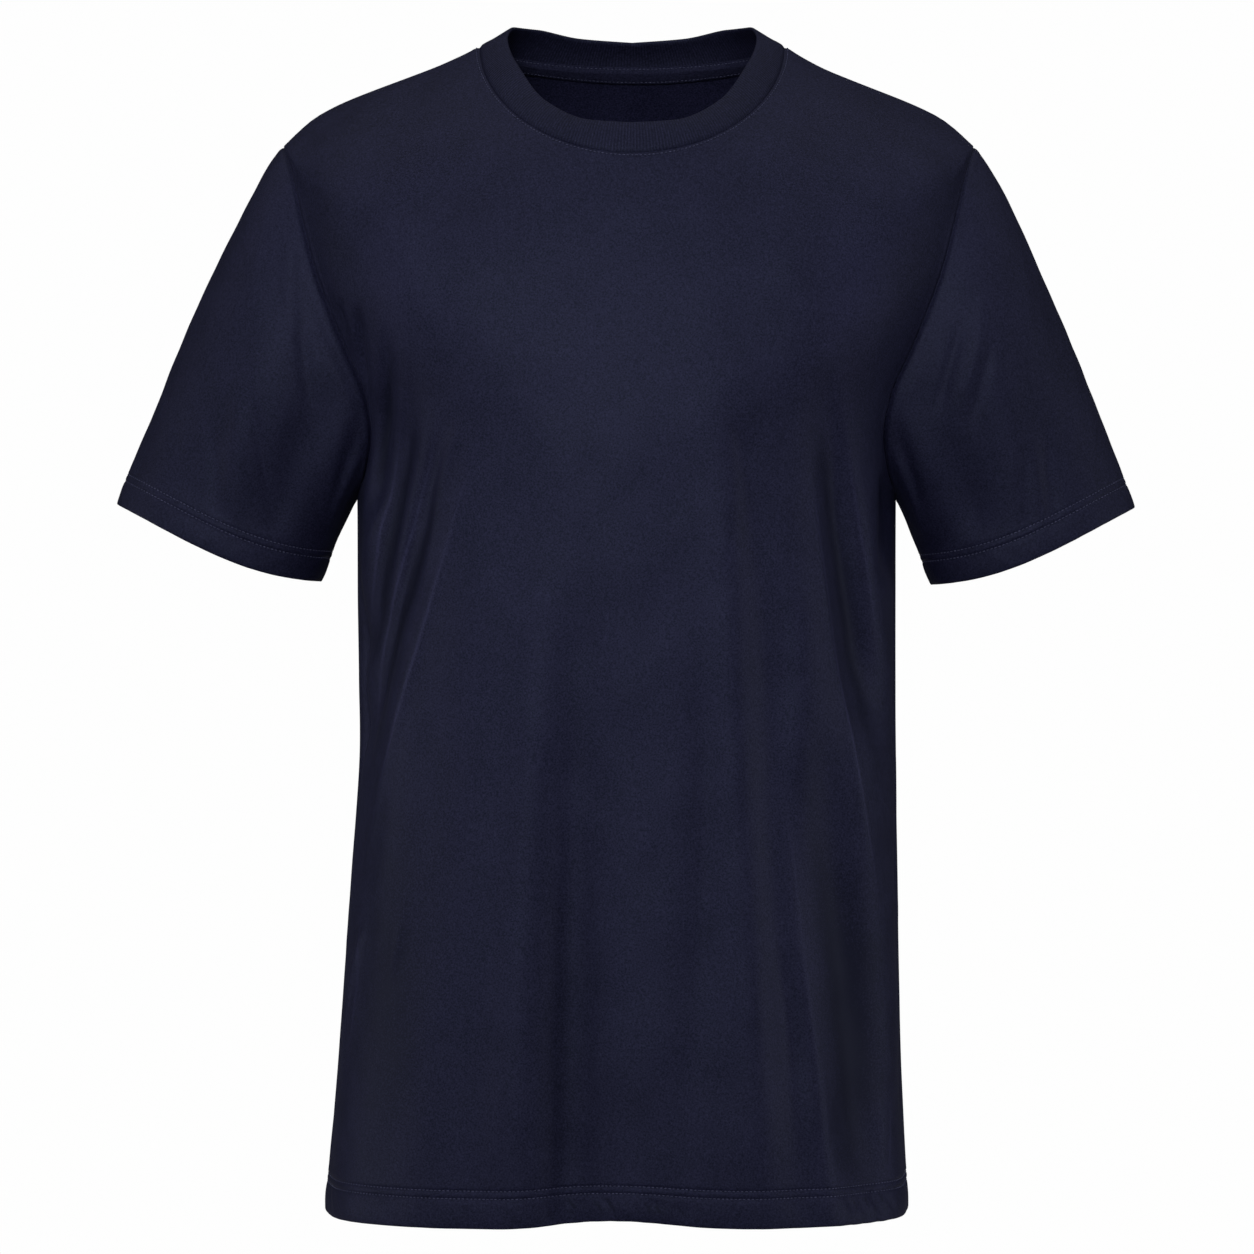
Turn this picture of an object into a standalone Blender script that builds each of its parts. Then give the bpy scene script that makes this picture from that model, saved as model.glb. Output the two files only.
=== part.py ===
"""Crew neck t-shirt of plain jersey, filled out as if worn.

Metres, +Z up, the front faces -Y, and the left sleeve is on the -X side. The origin is the
centre of the neck base, between the high points of the two shoulders. Each piece of cloth is
a wall between an outer and an inner grid of points. A row of the body runs from one side edge
to the other, and a row's level says where it starts: 0 at the hem, 1 at the armpit, 2 at the
shoulder tip and 3 at the neck.
"""
from collections import namedtuple

import bmesh
import bpy
import numpy as np

NAME = "crew_neck_t_shirt"

# Cloth thickness and joins.
JERSEY_WALL = 0.0012
HEM_WALL = 0.0022
RIB_WALL = 0.0020
TAPE_WALL = 0.0008
SEAM_GAP = 0.00034
HEM_DEPTH = 0.0240
CUFF_DEPTH = 0.0190
HEM_STEP = 0.0016

# Body: heights of the levels, and how far the armhole loop reaches to front and back.
HEM_HEIGHT = -0.7066
ARMPIT_HEIGHT = -0.2730
TIP_HEIGHT = -0.0612
TIP_HALF_WIDTH = 0.2098
NECK_HALF_WIDTH = 0.0930
ARMHOLE_FRONT = -0.0500
ARMHOLE_BACK = 0.0480
HEM_LIFT = 0.0050
HEM_LIFT_X = -0.0050
HEM_LIFT_SPREAD = 0.0420
HEM_LIFT_LEVEL = 0.30

# Grid sizes.
SIDE_ROWS = 18
ARMHOLE_ROWS = 13
SHOULDER_ROWS = 6
FRONT_COLUMNS = 34
BACK_COLUMNS = 26
SIDE_CROWDING = 0.18
SLEEVE_ROWS = 9
TAPE_COLUMNS = 30

# Collar: ribs across its outer face, its usual height, and how far it bows out.
RIBS = 160
RIB_HEIGHT = 0.0003
RIB_BOW = 0.0012
COLLAR_HEIGHT = 0.0200

SHARP_ANGLE = np.radians(40.0)

SideStation = namedtuple("SideStation", "height half_width")
SIDE_SEAM = (
    SideStation(-0.7066, 0.1770),
    SideStation(-0.6600, 0.1737),
    SideStation(-0.6060, 0.1705),
    SideStation(-0.5080, 0.1662),
    SideStation(-0.4230, 0.1630),
    SideStation(-0.3500, 0.1634),
    SideStation(-0.2730, 0.1638),
)
ARMHOLE_EDGE = (
    SideStation(-0.2730, 0.1638),
    SideStation(-0.2600, 0.1580),
    SideStation(-0.2380, 0.1545),
    SideStation(-0.2150, 0.1580),
    SideStation(-0.1900, 0.1685),
    SideStation(-0.1627, 0.1798),
    SideStation(-0.1385, 0.1885),
    SideStation(-0.1100, 0.1962),
    SideStation(-0.0800, 0.2035),
    SideStation(-0.0612, 0.2098),
)
SHOULDER_SEAM = (
    SideStation(-0.0612, 0.2098),
    SideStation(-0.0452, 0.1928),
    SideStation(-0.0360, 0.1752),
    SideStation(-0.0272, 0.1538),
    SideStation(-0.0203, 0.1360),
    SideStation(-0.0130, 0.1183),
    SideStation(0.0000, 0.0930),
)

# Middle of the front and the back at a level. Squareness 2 is an ellipse; drop is the power
# by which a row falls from its ends to its middle; shift moves the row sideways.
BodySection = namedtuple("BodySection", "level shift front_y front_z back_y back_z squareness drop")
BODY_SECTIONS = (
    BodySection(0.00, -0.0070, -0.1195, -0.7066, 0.1180, -0.7066, 2.90, 2.0),
    BodySection(0.23, -0.0052, -0.1175, -0.6060, 0.1120, -0.6060, 2.75, 2.0),
    BodySection(0.46, -0.0027, -0.1155, -0.5080, 0.1060, -0.5080, 2.65, 2.0),
    BodySection(0.65, -0.0006, -0.1165, -0.4230, 0.1030, -0.4230, 2.55, 2.0),
    BodySection(0.83, -0.0012, -0.1195, -0.3510, 0.1070, -0.3490, 2.42, 2.0),
    BodySection(1.00, -0.0012, -0.1225, -0.2780, 0.1130, -0.2700, 2.18, 2.0),
    BodySection(1.25, -0.0008, -0.1235, -0.2420, 0.1160, -0.2200, 2.30, 1.9),
    BodySection(1.50, 0.0000, -0.1220, -0.2020, 0.1160, -0.1650, 2.35, 1.8),
    BodySection(1.75, 0.0000, -0.1180, -0.1640, 0.1110, -0.1150, 2.30, 1.8),
    BodySection(2.00, 0.0000, -0.1125, -0.1330, 0.1000, -0.0760, 2.25, 1.8),
    BodySection(2.40, -0.0018, -0.1058, -0.1070, 0.0842, -0.0460, 2.17, 1.6),
    BodySection(2.70, -0.0010, -0.1003, -0.0895, 0.0702, -0.0270, 2.11, 1.4),
    BodySection(3.00, 0.0021, -0.0950, -0.0735, 0.0570, -0.0095, 2.05, 1.1),
)

# Folds as seen from the front or the back: a smooth curve through a top, a middle and a low
# point, the half width and the height of the ridge, less than nothing for a trough. A high
# power keeps a fold at its full height until close to its ends or to the panel's side edges.
FOLD_STEPS = 33
FOLD_END_POWER = 4
SIDE_FADE_POWER = 8
Fold = namedtuple("Fold", "x_top z_top x_mid z_mid x_low z_low half_width height")
FRONT_FOLDS = (
    Fold(-0.127, -0.205, -0.134, -0.268, -0.149, -0.360, 0.0100, -0.0045),
    Fold(-0.098, -0.225, -0.118, -0.292, -0.147, -0.410, 0.0130, -0.0070),
    Fold(-0.110, -0.290, -0.131, -0.390, -0.168, -0.540, 0.0110, 0.0035),
    Fold(-0.032, -0.350, -0.042, -0.540, -0.048, -0.860, 0.0190, -0.0085),
    Fold(-0.052, -0.280, -0.061, -0.450, -0.070, -0.820, 0.0220, 0.0035),
    Fold(0.044, -0.270, 0.062, -0.400, 0.085, -0.780, 0.0210, 0.0045),
    Fold(0.106, -0.205, 0.126, -0.285, 0.145, -0.410, 0.0110, -0.0060),
    Fold(0.098, -0.220, 0.118, -0.340, 0.160, -0.550, 0.0110, 0.0040),
    Fold(0.100, -0.410, 0.134, -0.545, 0.136, -0.800, 0.0170, -0.0065),
    Fold(0.088, -0.440, 0.104, -0.560, 0.122, -0.760, 0.0120, 0.0025),
)
BACK_FOLDS = (
    Fold(-0.118, -0.200, -0.130, -0.285, -0.150, -0.430, 0.0120, -0.0060),
    Fold(-0.100, -0.235, -0.118, -0.350, -0.160, -0.560, 0.0120, 0.0035),
    Fold(-0.060, -0.290, -0.066, -0.480, -0.082, -0.840, 0.0210, -0.0080),
    Fold(-0.020, -0.330, -0.026, -0.500, -0.030, -0.820, 0.0210, 0.0045),
    Fold(0.030, -0.370, 0.026, -0.560, 0.020, -0.860, 0.0190, -0.0070),
    Fold(0.070, -0.270, 0.082, -0.420, 0.096, -0.800, 0.0210, 0.0040),
    Fold(0.110, -0.200, 0.125, -0.290, 0.148, -0.440, 0.0120, -0.0060),
    Fold(0.128, -0.240, 0.140, -0.360, 0.166, -0.600, 0.0110, 0.0030),
)

# Sleeves. The cuff is an ellipse square to the sleeve's line, and its front and back hang
# a little lower than its ends. A start gives the way the cloth leaves the armhole seam.
CUFF_CENTRES = {"left": (-0.2496, 0.0, -0.3020), "right": (0.2464, 0.0, -0.3040)}
CUFF_TILT = np.radians(20.8)
CUFF_LONG = 0.0665
CUFF_DEEP = 0.0430
CUFF_SAG = 0.0068
CUFF_SAG_SKEW = 0.65
SleeveStart = namedtuple("SleeveStart", "angle outward forward up reach settle")
SLEEVE_STARTS = (
    SleeveStart(0.0, 0.30, 0.00, -0.95, 0.30, 0.30),
    SleeveStart(45.0, 0.72, 0.30, -0.62, 0.34, 0.32),
    SleeveStart(90.0, 0.86, 0.22, -0.46, 0.30, 0.28),
    SleeveStart(135.0, 0.78, 0.16, -0.60, 0.22, 0.20),
    SleeveStart(180.0, 0.80, 0.00, -0.60, 0.11, 0.10),
)

# Folds of a sleeve, by the angle round it and the place along it: 0 at the armhole seam, 1
# where the cuff starts. The last two rows of a sleeve are the top and the edge of its cuff.
CUFF_ROWS_ALONG = (1.0, 1.05)
SleeveFold = namedtuple("SleeveFold", "angle_top along_top angle_low along_low half_width height")
SLEEVE_FOLDS = (
    SleeveFold(70.0, 0.10, 62.0, 1.00, 10.0, -0.0030),
    SleeveFold(98.0, 0.20, 88.0, 1.05, 11.0, 0.0025),
    SleeveFold(-64.0, 0.10, -58.0, 1.00, 10.0, -0.0030),
    SleeveFold(-95.0, 0.15, -86.0, 1.05, 12.0, 0.0025),
)

# Collar top edge round the neck: 0 degrees is the front, 90 a shoulder, 180 the back.
NECK_TOP_HALF_WIDTH = 0.0760
TopEdge = namedtuple("TopEdge", "angle y z")
NECK_TOP = (
    TopEdge(0.0, -0.0880, -0.0550),
    TopEdge(20.0, -0.0830, -0.0528),
    TopEdge(43.0, -0.0630, -0.0392),
    TopEdge(65.0, -0.0360, -0.0150),
    TopEdge(90.0, -0.0060, 0.0050),
    TopEdge(110.0, 0.0140, 0.0138),
    TopEdge(130.0, 0.0320, 0.0145),
    TopEdge(155.0, 0.0460, 0.0105),
    TopEdge(180.0, 0.0500, 0.0084),
)

# Tape inside the back neck: how far it reaches above and below the collar seam, the level
# that its lower part hangs towards, and how far it reaches round from the centre back.
TAPE_ABOVE = 0.0025
TAPE_BELOW = 0.0075
TAPE_LEVEL = 2.9
TAPE_SWEEP = 80.0

Cloth = namedtuple("Cloth", "colour roughness")
JERSEY = Cloth((0.0135, 0.0150, 0.0320, 1.0), 0.62)
RIB_KNIT = Cloth((0.0145, 0.0158, 0.0335, 1.0), 0.72)
TWILL_TAPE = Cloth((0.0120, 0.0125, 0.0240, 1.0), 0.75)


# ---- Curves through short tables ----

def smooth_table(stations, values, at):
    """Read a smooth curve through a table, with no overshoot between its rows."""
    x = np.asarray(stations, float)
    y = np.asarray(values, float)
    at = np.clip(at, x[0], x[-1])
    step = np.diff(x)
    slope = np.diff(y) / step
    tangent = np.empty_like(y)
    tangent[0], tangent[-1] = slope[0], slope[-1]
    before, after = slope[:-1], slope[1:]
    same_way = before * after > 0.0
    total = np.where(same_way, before + after, 1.0)
    tangent[1:-1] = np.where(same_way, 2.0 * before * after / total, 0.0)
    index = np.clip(np.searchsorted(x, at, side="right") - 1, 0, len(step) - 1)
    part = (at - x[index]) / step[index]
    start, end = y[index], y[index + 1]
    lead, trail = tangent[index] * step[index], tangent[index + 1] * step[index]
    cubic = 2.0 * start - 2.0 * end + lead + trail
    square = 3.0 * end - 3.0 * start - 2.0 * lead - trail
    return ((cubic * part + square) * part + lead) * part + start


def read_column(table, key, column, at):
    """Read one named column of a table at the given values of its key column."""
    keys = [getattr(row, key) for row in table]
    return smooth_table(keys, [getattr(row, column) for row in table], at)


def unit(vectors):
    """Scale vectors to length one."""
    return vectors / np.maximum(np.linalg.norm(vectors, axis=-1, keepdims=True), 1e-12)


def grid_normals(points, wraps=False):
    """Normals of a grid of points, from its neighbours along rows and columns."""
    if wraps:
        across = np.roll(points, -1, axis=1) - np.roll(points, 1, axis=1)
    else:
        across = np.gradient(points, axis=1)
    along = np.gradient(points, axis=0)
    return unit(np.cross(across, along))


# ---- Body panels ----

def body_levels():
    """Levels of the rows from hem to neck, with two close rows at the top of the hem."""
    side_height = ARMPIT_HEIGHT - HEM_HEIGHT
    hem_top = HEM_DEPTH / side_height
    hem_step = (HEM_DEPTH + HEM_STEP) / side_height
    side = np.linspace(hem_step, 1.0, SIDE_ROWS + 1)
    armhole = np.linspace(1.0, 2.0, ARMHOLE_ROWS + 1)[1:]
    shoulder = np.linspace(2.0, 3.0, SHOULDER_ROWS + 1)[1:]
    return np.concatenate([[0.0, hem_top], side, armhole, shoulder])


def edge_shape(level, reach):
    """Height, half width and depth of a panel's side edge at each level."""
    level = np.asarray(level, float)
    turn = np.pi * np.clip(level - 1.0, 0.0, 1.0)
    middle = 0.5 * (ARMPIT_HEIGHT + TIP_HEIGHT)
    half = 0.5 * (TIP_HEIGHT - ARMPIT_HEIGHT)
    side_height = HEM_HEIGHT + np.clip(level, 0.0, 1.0) * (ARMPIT_HEIGHT - HEM_HEIGHT)
    armhole_height = middle - half * np.cos(turn)
    seam_part = np.clip(level - 2.0, 0.0, 1.0)
    seam_width = TIP_HALF_WIDTH + seam_part * (NECK_HALF_WIDTH - TIP_HALF_WIDTH)
    seam_table = SHOULDER_SEAM[::-1]
    seam_height = read_column(seam_table, "half_width", "height", seam_width)
    side_width = read_column(SIDE_SEAM, "height", "half_width", side_height)
    armhole_width = read_column(ARMHOLE_EDGE, "height", "half_width", armhole_height)
    zones = [level < 1.0, level <= 2.0]
    height = np.select(zones, [side_height, armhole_height], seam_height)
    half_width = np.select(zones, [side_width, armhole_width], seam_width)
    return height, half_width, reach * np.sin(turn)


def squared_circle(angle, squareness):
    """Sideways and forward parts of a circle squared off by a power."""
    sideways, forward = np.sin(angle), np.cos(angle)
    size = (np.abs(sideways) ** squareness + np.abs(forward) ** squareness) ** (1.0 / squareness)
    return sideways / size, forward / size


def body_surface(levels, spread, face):
    """Outer points of the front or back panel before its folds, one row for each level."""
    reach = ARMHOLE_FRONT if face == "front" else ARMHOLE_BACK
    level = np.asarray(levels, float)[:, None]
    spread = np.asarray(spread, float)[None, :]
    height, half_width, depth = edge_shape(level, reach)
    squareness = read_column(BODY_SECTIONS, "level", "squareness", level)
    drop = read_column(BODY_SECTIONS, "level", "drop", level)
    middle_y = read_column(BODY_SECTIONS, "level", face + "_y", level)
    middle_z = read_column(BODY_SECTIONS, "level", face + "_z", level)
    shift = read_column(BODY_SECTIONS, "level", "shift", level)
    end_forward = np.clip(depth / middle_y, 0.0, 1.0)
    end_sideways = (1.0 - end_forward ** squareness) ** (1.0 / squareness)
    end_angle = np.arctan2(end_sideways, end_forward)
    sideways, forward = squared_circle(end_angle * spread, squareness)
    share = np.clip((forward - end_forward) / (1.0 - end_forward), 0.0, 1.0)
    x = shift + half_width * sideways / end_sideways
    y = depth + (middle_y - depth) * share
    z = height + (middle_z - height) * share ** drop
    return np.stack([x, y, z], axis=-1)


def curve_through(top, middle, low, part):
    """Smooth curve through three values, at parts of its way."""
    bend = 2.0 * middle - 0.5 * (top + low)
    return (1.0 - part) ** 2 * top + 2.0 * part * (1.0 - part) * bend + part ** 2 * low


def nearest_on_line(x, z, line_x, line_z):
    """Distance of each place from a line, and the part of the line where it is nearest."""
    step_x, step_z = np.diff(line_x), np.diff(line_z)
    to_x = x[..., None] - line_x[:-1]
    to_z = z[..., None] - line_z[:-1]
    share = (to_x * step_x + to_z * step_z) / (step_x ** 2 + step_z ** 2)
    share = np.clip(share, 0.0, 1.0)
    gap = np.hypot(to_x - share * step_x, to_z - share * step_z)
    nearest = np.argmin(gap, axis=-1)[..., None]
    along = (nearest + np.take_along_axis(share, nearest, axis=-1)) / len(step_x)
    return np.take_along_axis(gap, nearest, axis=-1)[..., 0], along[..., 0]


def fold_heights(x, z, folds):
    """Sum of soft ridges and troughs at places seen from the front."""
    total = np.zeros_like(x)
    part = np.linspace(0.0, 1.0, FOLD_STEPS)
    for fold in folds:
        line_x = curve_through(fold.x_top, fold.x_mid, fold.x_low, part)
        line_z = curve_through(fold.z_top, fold.z_mid, fold.z_low, part)
        gap, along = nearest_on_line(x, z, line_x, line_z)
        fade = 1.0 - (2.0 * along - 1.0) ** FOLD_END_POWER
        total += fold.height * fade * np.exp(-(gap / fold.half_width) ** 2)
    return total


def panel_outer(levels, spread, face):
    """Outer points and normals of a folded panel."""
    points = body_surface(levels, spread, face)
    outward = 1.0 if face == "front" else -1.0
    normals = outward * grid_normals(points)
    folds = FRONT_FOLDS if face == "front" else BACK_FOLDS
    edge_fade = 1.0 - np.abs(spread[None, :]) ** SIDE_FADE_POWER
    lift = fold_heights(points[..., 0], points[..., 2], folds) * edge_fade
    points = points + normals * lift[..., None]
    if face == "front":
        hem_share = np.clip(1.0 - np.asarray(levels) / HEM_LIFT_LEVEL, 0.0, 1.0)[:, None] ** 2
        hem_bump = np.exp(-((points[..., 0] - HEM_LIFT_X) / HEM_LIFT_SPREAD) ** 2)
        points[..., 2] += HEM_LIFT * hem_share * hem_bump
    return points, outward * grid_normals(points)


def side_normals(edge_points, side_sign):
    """Normals of a seam that lies in the plane between front and back."""
    along = np.gradient(edge_points, axis=0)
    zeros = np.zeros(len(along))
    return unit(np.stack([along[:, 2], zeros, -along[:, 0]], axis=-1)) * side_sign


def column_spread(columns):
    """Places across a panel from -1 to 1, closer together towards its sides."""
    even = np.linspace(-1.0, 1.0, columns + 1)
    return even + SIDE_CROWDING * np.sin(np.pi * even) / np.pi


def row_thickness(levels):
    """Wall thickness of each row: doubled where the hem is turned up."""
    hem_top = HEM_DEPTH / (ARMPIT_HEIGHT - HEM_HEIGHT)
    return np.where(np.asarray(levels) <= hem_top + 1e-6, HEM_WALL, JERSEY_WALL)


# ---- Sleeves ----

def armhole_loop(levels, side_sign):
    """Armhole seam from the armpit up the front and down the back, as a closed loop."""
    rows = levels[(levels >= 1.0) & (levels <= 2.0)]
    edge = np.array([float(side_sign)])
    front = body_surface(rows, edge, "front")[:, 0]
    back = body_surface(rows, edge, "back")[:, 0]
    angles = 180.0 * (rows - 1.0)
    loop = np.concatenate([front, back[-2:0:-1]])
    return loop, np.concatenate([angles, -angles[-2:0:-1]])


def cuff_loop(angles, side_name, side_sign):
    """Cuff edge, and the way the sleeve runs as it reaches the cuff."""
    radians = np.radians(angles)
    run = np.array([side_sign * np.sin(CUFF_TILT), 0.0, -np.cos(CUFF_TILT)])
    rise = np.array([side_sign * np.cos(CUFF_TILT), 0.0, np.sin(CUFF_TILT)])
    ahead = np.array([0.0, -1.0, 0.0])
    loop = np.array(CUFF_CENTRES[side_name])[None, :]
    loop = loop - CUFF_LONG * np.cos(radians)[:, None] * rise
    loop = loop + CUFF_DEEP * np.sin(radians)[:, None] * ahead
    sag = CUFF_SAG * np.sin(radians) ** 2 * (1.0 + CUFF_SAG_SKEW * np.cos(radians))
    return loop + sag[:, None] * run, run


def sleeve_starts(angles, side_sign):
    """The way the sleeve leaves the armhole seam at each angle of the loop."""
    at = np.abs(angles)
    outward = read_column(SLEEVE_STARTS, "angle", "outward", at) * side_sign
    forward = read_column(SLEEVE_STARTS, "angle", "forward", at) * -np.sign(angles)
    up = read_column(SLEEVE_STARTS, "angle", "up", at)
    return unit(np.stack([outward, forward, up], axis=-1))


def seam_normals(loop, body_normals, starts, side_sign):
    """Normals halfway between body and sleeve, square to the armhole seam."""
    along = unit(np.roll(loop, -1, axis=0) - np.roll(loop, 1, axis=0))
    sleeve_normals = unit(np.cross(along, starts)) * -side_sign
    both = unit(body_normals + sleeve_normals)
    return unit(both - along * np.sum(both * along, axis=1, keepdims=True))


def sleeve_outer(loop, angles, starts, side_name, side_sign, parts):
    """Outer points of a sleeve: curved rows to the cuff's fold line, then the turned cuff."""
    cuff, run = cuff_loop(angles, side_name, side_sign)
    fold_line = cuff - run * CUFF_DEPTH
    length = np.linalg.norm(fold_line - loop, axis=1, keepdims=True)
    reach = read_column(SLEEVE_STARTS, "angle", "reach", np.abs(angles))[:, None]
    settle = read_column(SLEEVE_STARTS, "angle", "settle", np.abs(angles))[:, None]
    start_handle = loop + starts * length * reach
    end_handle = fold_line - run * length * settle
    part = parts[:, None, None]
    points = (1.0 - part) ** 3 * loop + 3.0 * part * (1.0 - part) ** 2 * start_handle
    points = points + 3.0 * part ** 2 * (1.0 - part) * end_handle + part ** 3 * fold_line
    rows = np.concatenate([points, (fold_line + run * HEM_STEP)[None], cuff[None]])
    normals = grid_normals(rows, wraps=True) * -side_sign
    lift = sleeve_lifts(angles, np.concatenate([parts, CUFF_ROWS_ALONG]))
    rows = rows + normals * lift[..., None]
    return rows, grid_normals(rows, wraps=True) * -side_sign


def sleeve_lifts(angles, along):
    """Ridges and troughs that run down a sleeve from its seam towards the cuff."""
    lift = np.zeros((len(along), len(angles)))
    for fold in SLEEVE_FOLDS:
        share = (along - fold.along_top) / (fold.along_low - fold.along_top)
        line = fold.angle_top + share * (fold.angle_low - fold.angle_top)
        fade = np.clip(1.0 - (2.0 * share - 1.0) ** FOLD_END_POWER, 0.0, 1.0)
        turn = (angles[None, :] - line[:, None] + 180.0) % 360.0 - 180.0
        lift += fold.height * fade[:, None] * np.exp(-(turn / fold.half_width) ** 2)
    return lift


# ---- Neck ----

def neck_seam(angles):
    """Collar seam round the neck and the way the collar rises from it, at angles in degrees."""
    angles = np.asarray(angles, float)
    away = (angles + 180.0) % 360.0 - 180.0
    front = np.abs(away) <= 90.0
    spread = np.where(front, away, np.sign(away) * 180.0 - away) / 90.0
    front_points = body_surface([3.0], spread, "front")[0]
    back_points = body_surface([3.0], spread, "back")[0]
    seam = np.where(front[:, None], front_points, back_points)
    at = np.abs(away)
    top_x = BODY_SECTIONS[-1].shift + NECK_TOP_HALF_WIDTH * np.sin(np.radians(away))
    top_y = read_column(NECK_TOP, "angle", "y", at)
    top_z = read_column(NECK_TOP, "angle", "z", at)
    return seam, np.stack([top_x, top_y, top_z], axis=-1)


def neck_frame(angles):
    """Collar seam, top edge, and the outward normals between them."""
    seam, top = neck_seam(angles)
    nudge = 0.5
    ahead, _ = neck_seam(angles + nudge)
    behind, _ = neck_seam(angles - nudge)
    along = unit(ahead - behind)
    rise = unit(top - seam)
    return seam, top, unit(np.cross(along, rise))


# ---- Building meshes ----

def add_wall(name, outer, inner, cloth, wraps=False):
    """Make one closed wall of cloth from its outer and inner grids."""
    rows, columns = outer.shape[:2]
    mesh = bpy.data.meshes.new(name)
    bm = bmesh.new()
    outside = [[bm.verts.new(point) for point in row] for row in outer]
    inside = [[bm.verts.new(point) for point in row] for row in inner]
    spans = columns if wraps else columns - 1
    for j in range(spans):
        k = (j + 1) % columns
        for i in range(rows - 1):
            bm.faces.new((outside[i][j], outside[i][k], outside[i + 1][k], outside[i + 1][j]))
            bm.faces.new((inside[i][j], inside[i + 1][j], inside[i + 1][k], inside[i][k]))
        bm.faces.new((outside[0][k], outside[0][j], inside[0][j], inside[0][k]))
        bm.faces.new((outside[-1][j], outside[-1][k], inside[-1][k], inside[-1][j]))
    if not wraps:
        for i in range(rows - 1):
            bm.faces.new((outside[i][0], outside[i + 1][0], inside[i + 1][0], inside[i][0]))
            bm.faces.new((outside[i + 1][-1], outside[i][-1], inside[i][-1], inside[i + 1][-1]))
    return finish_piece(name, bm, mesh, cloth)


def finish_piece(name, bm, mesh, cloth):
    """Turn the faces outwards, shade them smooth and link the piece with its own material."""
    bmesh.ops.recalc_face_normals(bm, faces=bm.faces)
    bm.to_mesh(mesh)
    bm.free()
    mesh.shade_smooth()
    mesh.set_sharp_from_angle(angle=SHARP_ANGLE)
    material = bpy.data.materials.new(name)
    material.use_nodes = True
    shader = material.node_tree.nodes["Principled BSDF"]
    shader.inputs["Base Color"].default_value = cloth.colour
    shader.inputs["Roughness"].default_value = cloth.roughness
    shader.inputs["Metallic"].default_value = 0.0
    mesh.materials.append(material)
    piece = bpy.data.objects.new(name, mesh)
    shirt.objects.link(piece)
    return piece


def add_panel(name, face, columns, levels, armhole_normals):
    """Front or back panel. Its edges share the normals of the seams that they are sewn to."""
    spread = column_spread(columns)
    outer, normals = panel_outer(levels, spread, face)
    towards = -1.0 if face == "front" else 1.0
    at_armhole = (levels >= 1.0) & (levels <= 2.0)
    for column, side_name, side_sign in ((0, "left", -1.0), (-1, "right", 1.0)):
        edge = outer[:, column].copy()
        normals[:, column] = side_normals(edge, side_sign)
        normals[at_armhole, column] = armhole_normals[side_name][face]
        outer[:, column, 1] += towards * SEAM_GAP / 2.0
    angles = 90.0 * spread if face == "front" else 180.0 - 90.0 * spread
    normals[-1] = neck_frame(angles)[2]
    normals[-1, [0, -1], 1] = 0.0
    normals[-1] = unit(normals[-1])
    inner = outer - normals * row_thickness(levels)[:, None, None]
    return add_wall(name, outer, inner, JERSEY)


def add_sleeve(name, side_name, side_sign, loop, angles, starts, normals_at_seam):
    """One sleeve as a tube from its armhole seam to its turned-up cuff."""
    parts = np.linspace(0.0, 1.0, SLEEVE_ROWS + 1)
    outer, normals = sleeve_outer(loop, angles, starts, side_name, side_sign, parts)
    normals[0] = normals_at_seam
    outer[0] = outer[0] + np.array([side_sign * SEAM_GAP, 0.0, -SEAM_GAP / 3.0])
    thickness = np.full(len(outer), JERSEY_WALL)
    thickness[-2:] = HEM_WALL
    inner = outer - normals * thickness[:, None, None]
    return add_wall(name, outer, inner, JERSEY, wraps=True)


def add_neck_rib():
    """Doubled rib collar: ridges across its outer face, over a plain inner face."""
    columns = 2 * RIBS
    angles = np.arange(columns) * 360.0 / columns
    seam, top, normals = neck_frame(angles)
    rise = unit(top - seam)
    seam = seam + rise * SEAM_GAP
    ridge = (np.arange(columns) % 2)[:, None] * RIB_HEIGHT

    def ring(share, depth, raised):
        bow = RIB_BOW * 4.0 * share * (1.0 - share)
        return seam + (top - seam) * share + normals * (bow - depth + raised)

    fold_share = 1.0 - 0.5 * RIB_WALL / COLLAR_HEIGHT
    rings = np.array([
        ring(0.0, 0.0, ridge),
        ring(0.5, 0.0, ridge),
        ring(fold_share, 0.0, ridge),
        ring(1.0, 0.5 * RIB_WALL, 0.0),
        ring(fold_share, RIB_WALL, 0.0),
        ring(0.0, RIB_WALL, 0.0),
    ])
    mesh = bpy.data.meshes.new("neck_rib")
    bm = bmesh.new()
    verts = [[bm.verts.new(point) for point in points] for points in rings]
    for i, points in enumerate(verts):
        after = verts[(i + 1) % len(verts)]
        for j in range(columns):
            k = (j + 1) % columns
            bm.faces.new((points[j], points[k], after[k], after[j]))
    return finish_piece("neck_rib", bm, mesh, RIB_KNIT)


def add_neck_tape():
    """Tape that lies inside the collar seam, round the back of the neck."""
    angles = np.linspace(180.0 - TAPE_SWEEP, 180.0 + TAPE_SWEEP, TAPE_COLUMNS + 1)
    seam, top, normals = neck_frame(angles)
    rise = unit(top - seam)
    spread = (180.0 - angles) / 90.0
    lower = body_surface([TAPE_LEVEL], spread, "back")[0]
    fall = unit(lower - seam)
    clear = RIB_WALL + SEAM_GAP
    outer = np.array([
        seam + rise * TAPE_ABOVE - normals * clear,
        seam - normals * clear,
        seam + fall * TAPE_BELOW - normals * clear,
    ])
    inner = outer - normals * TAPE_WALL
    return add_wall("neck_tape", outer, inner, TWILL_TAPE)


# ---- Assembly ----

for old in list(bpy.data.objects):
    bpy.data.objects.remove(old, do_unlink=True)

shirt = bpy.data.collections.new(NAME)
bpy.context.scene.collection.children.link(shirt)

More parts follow.
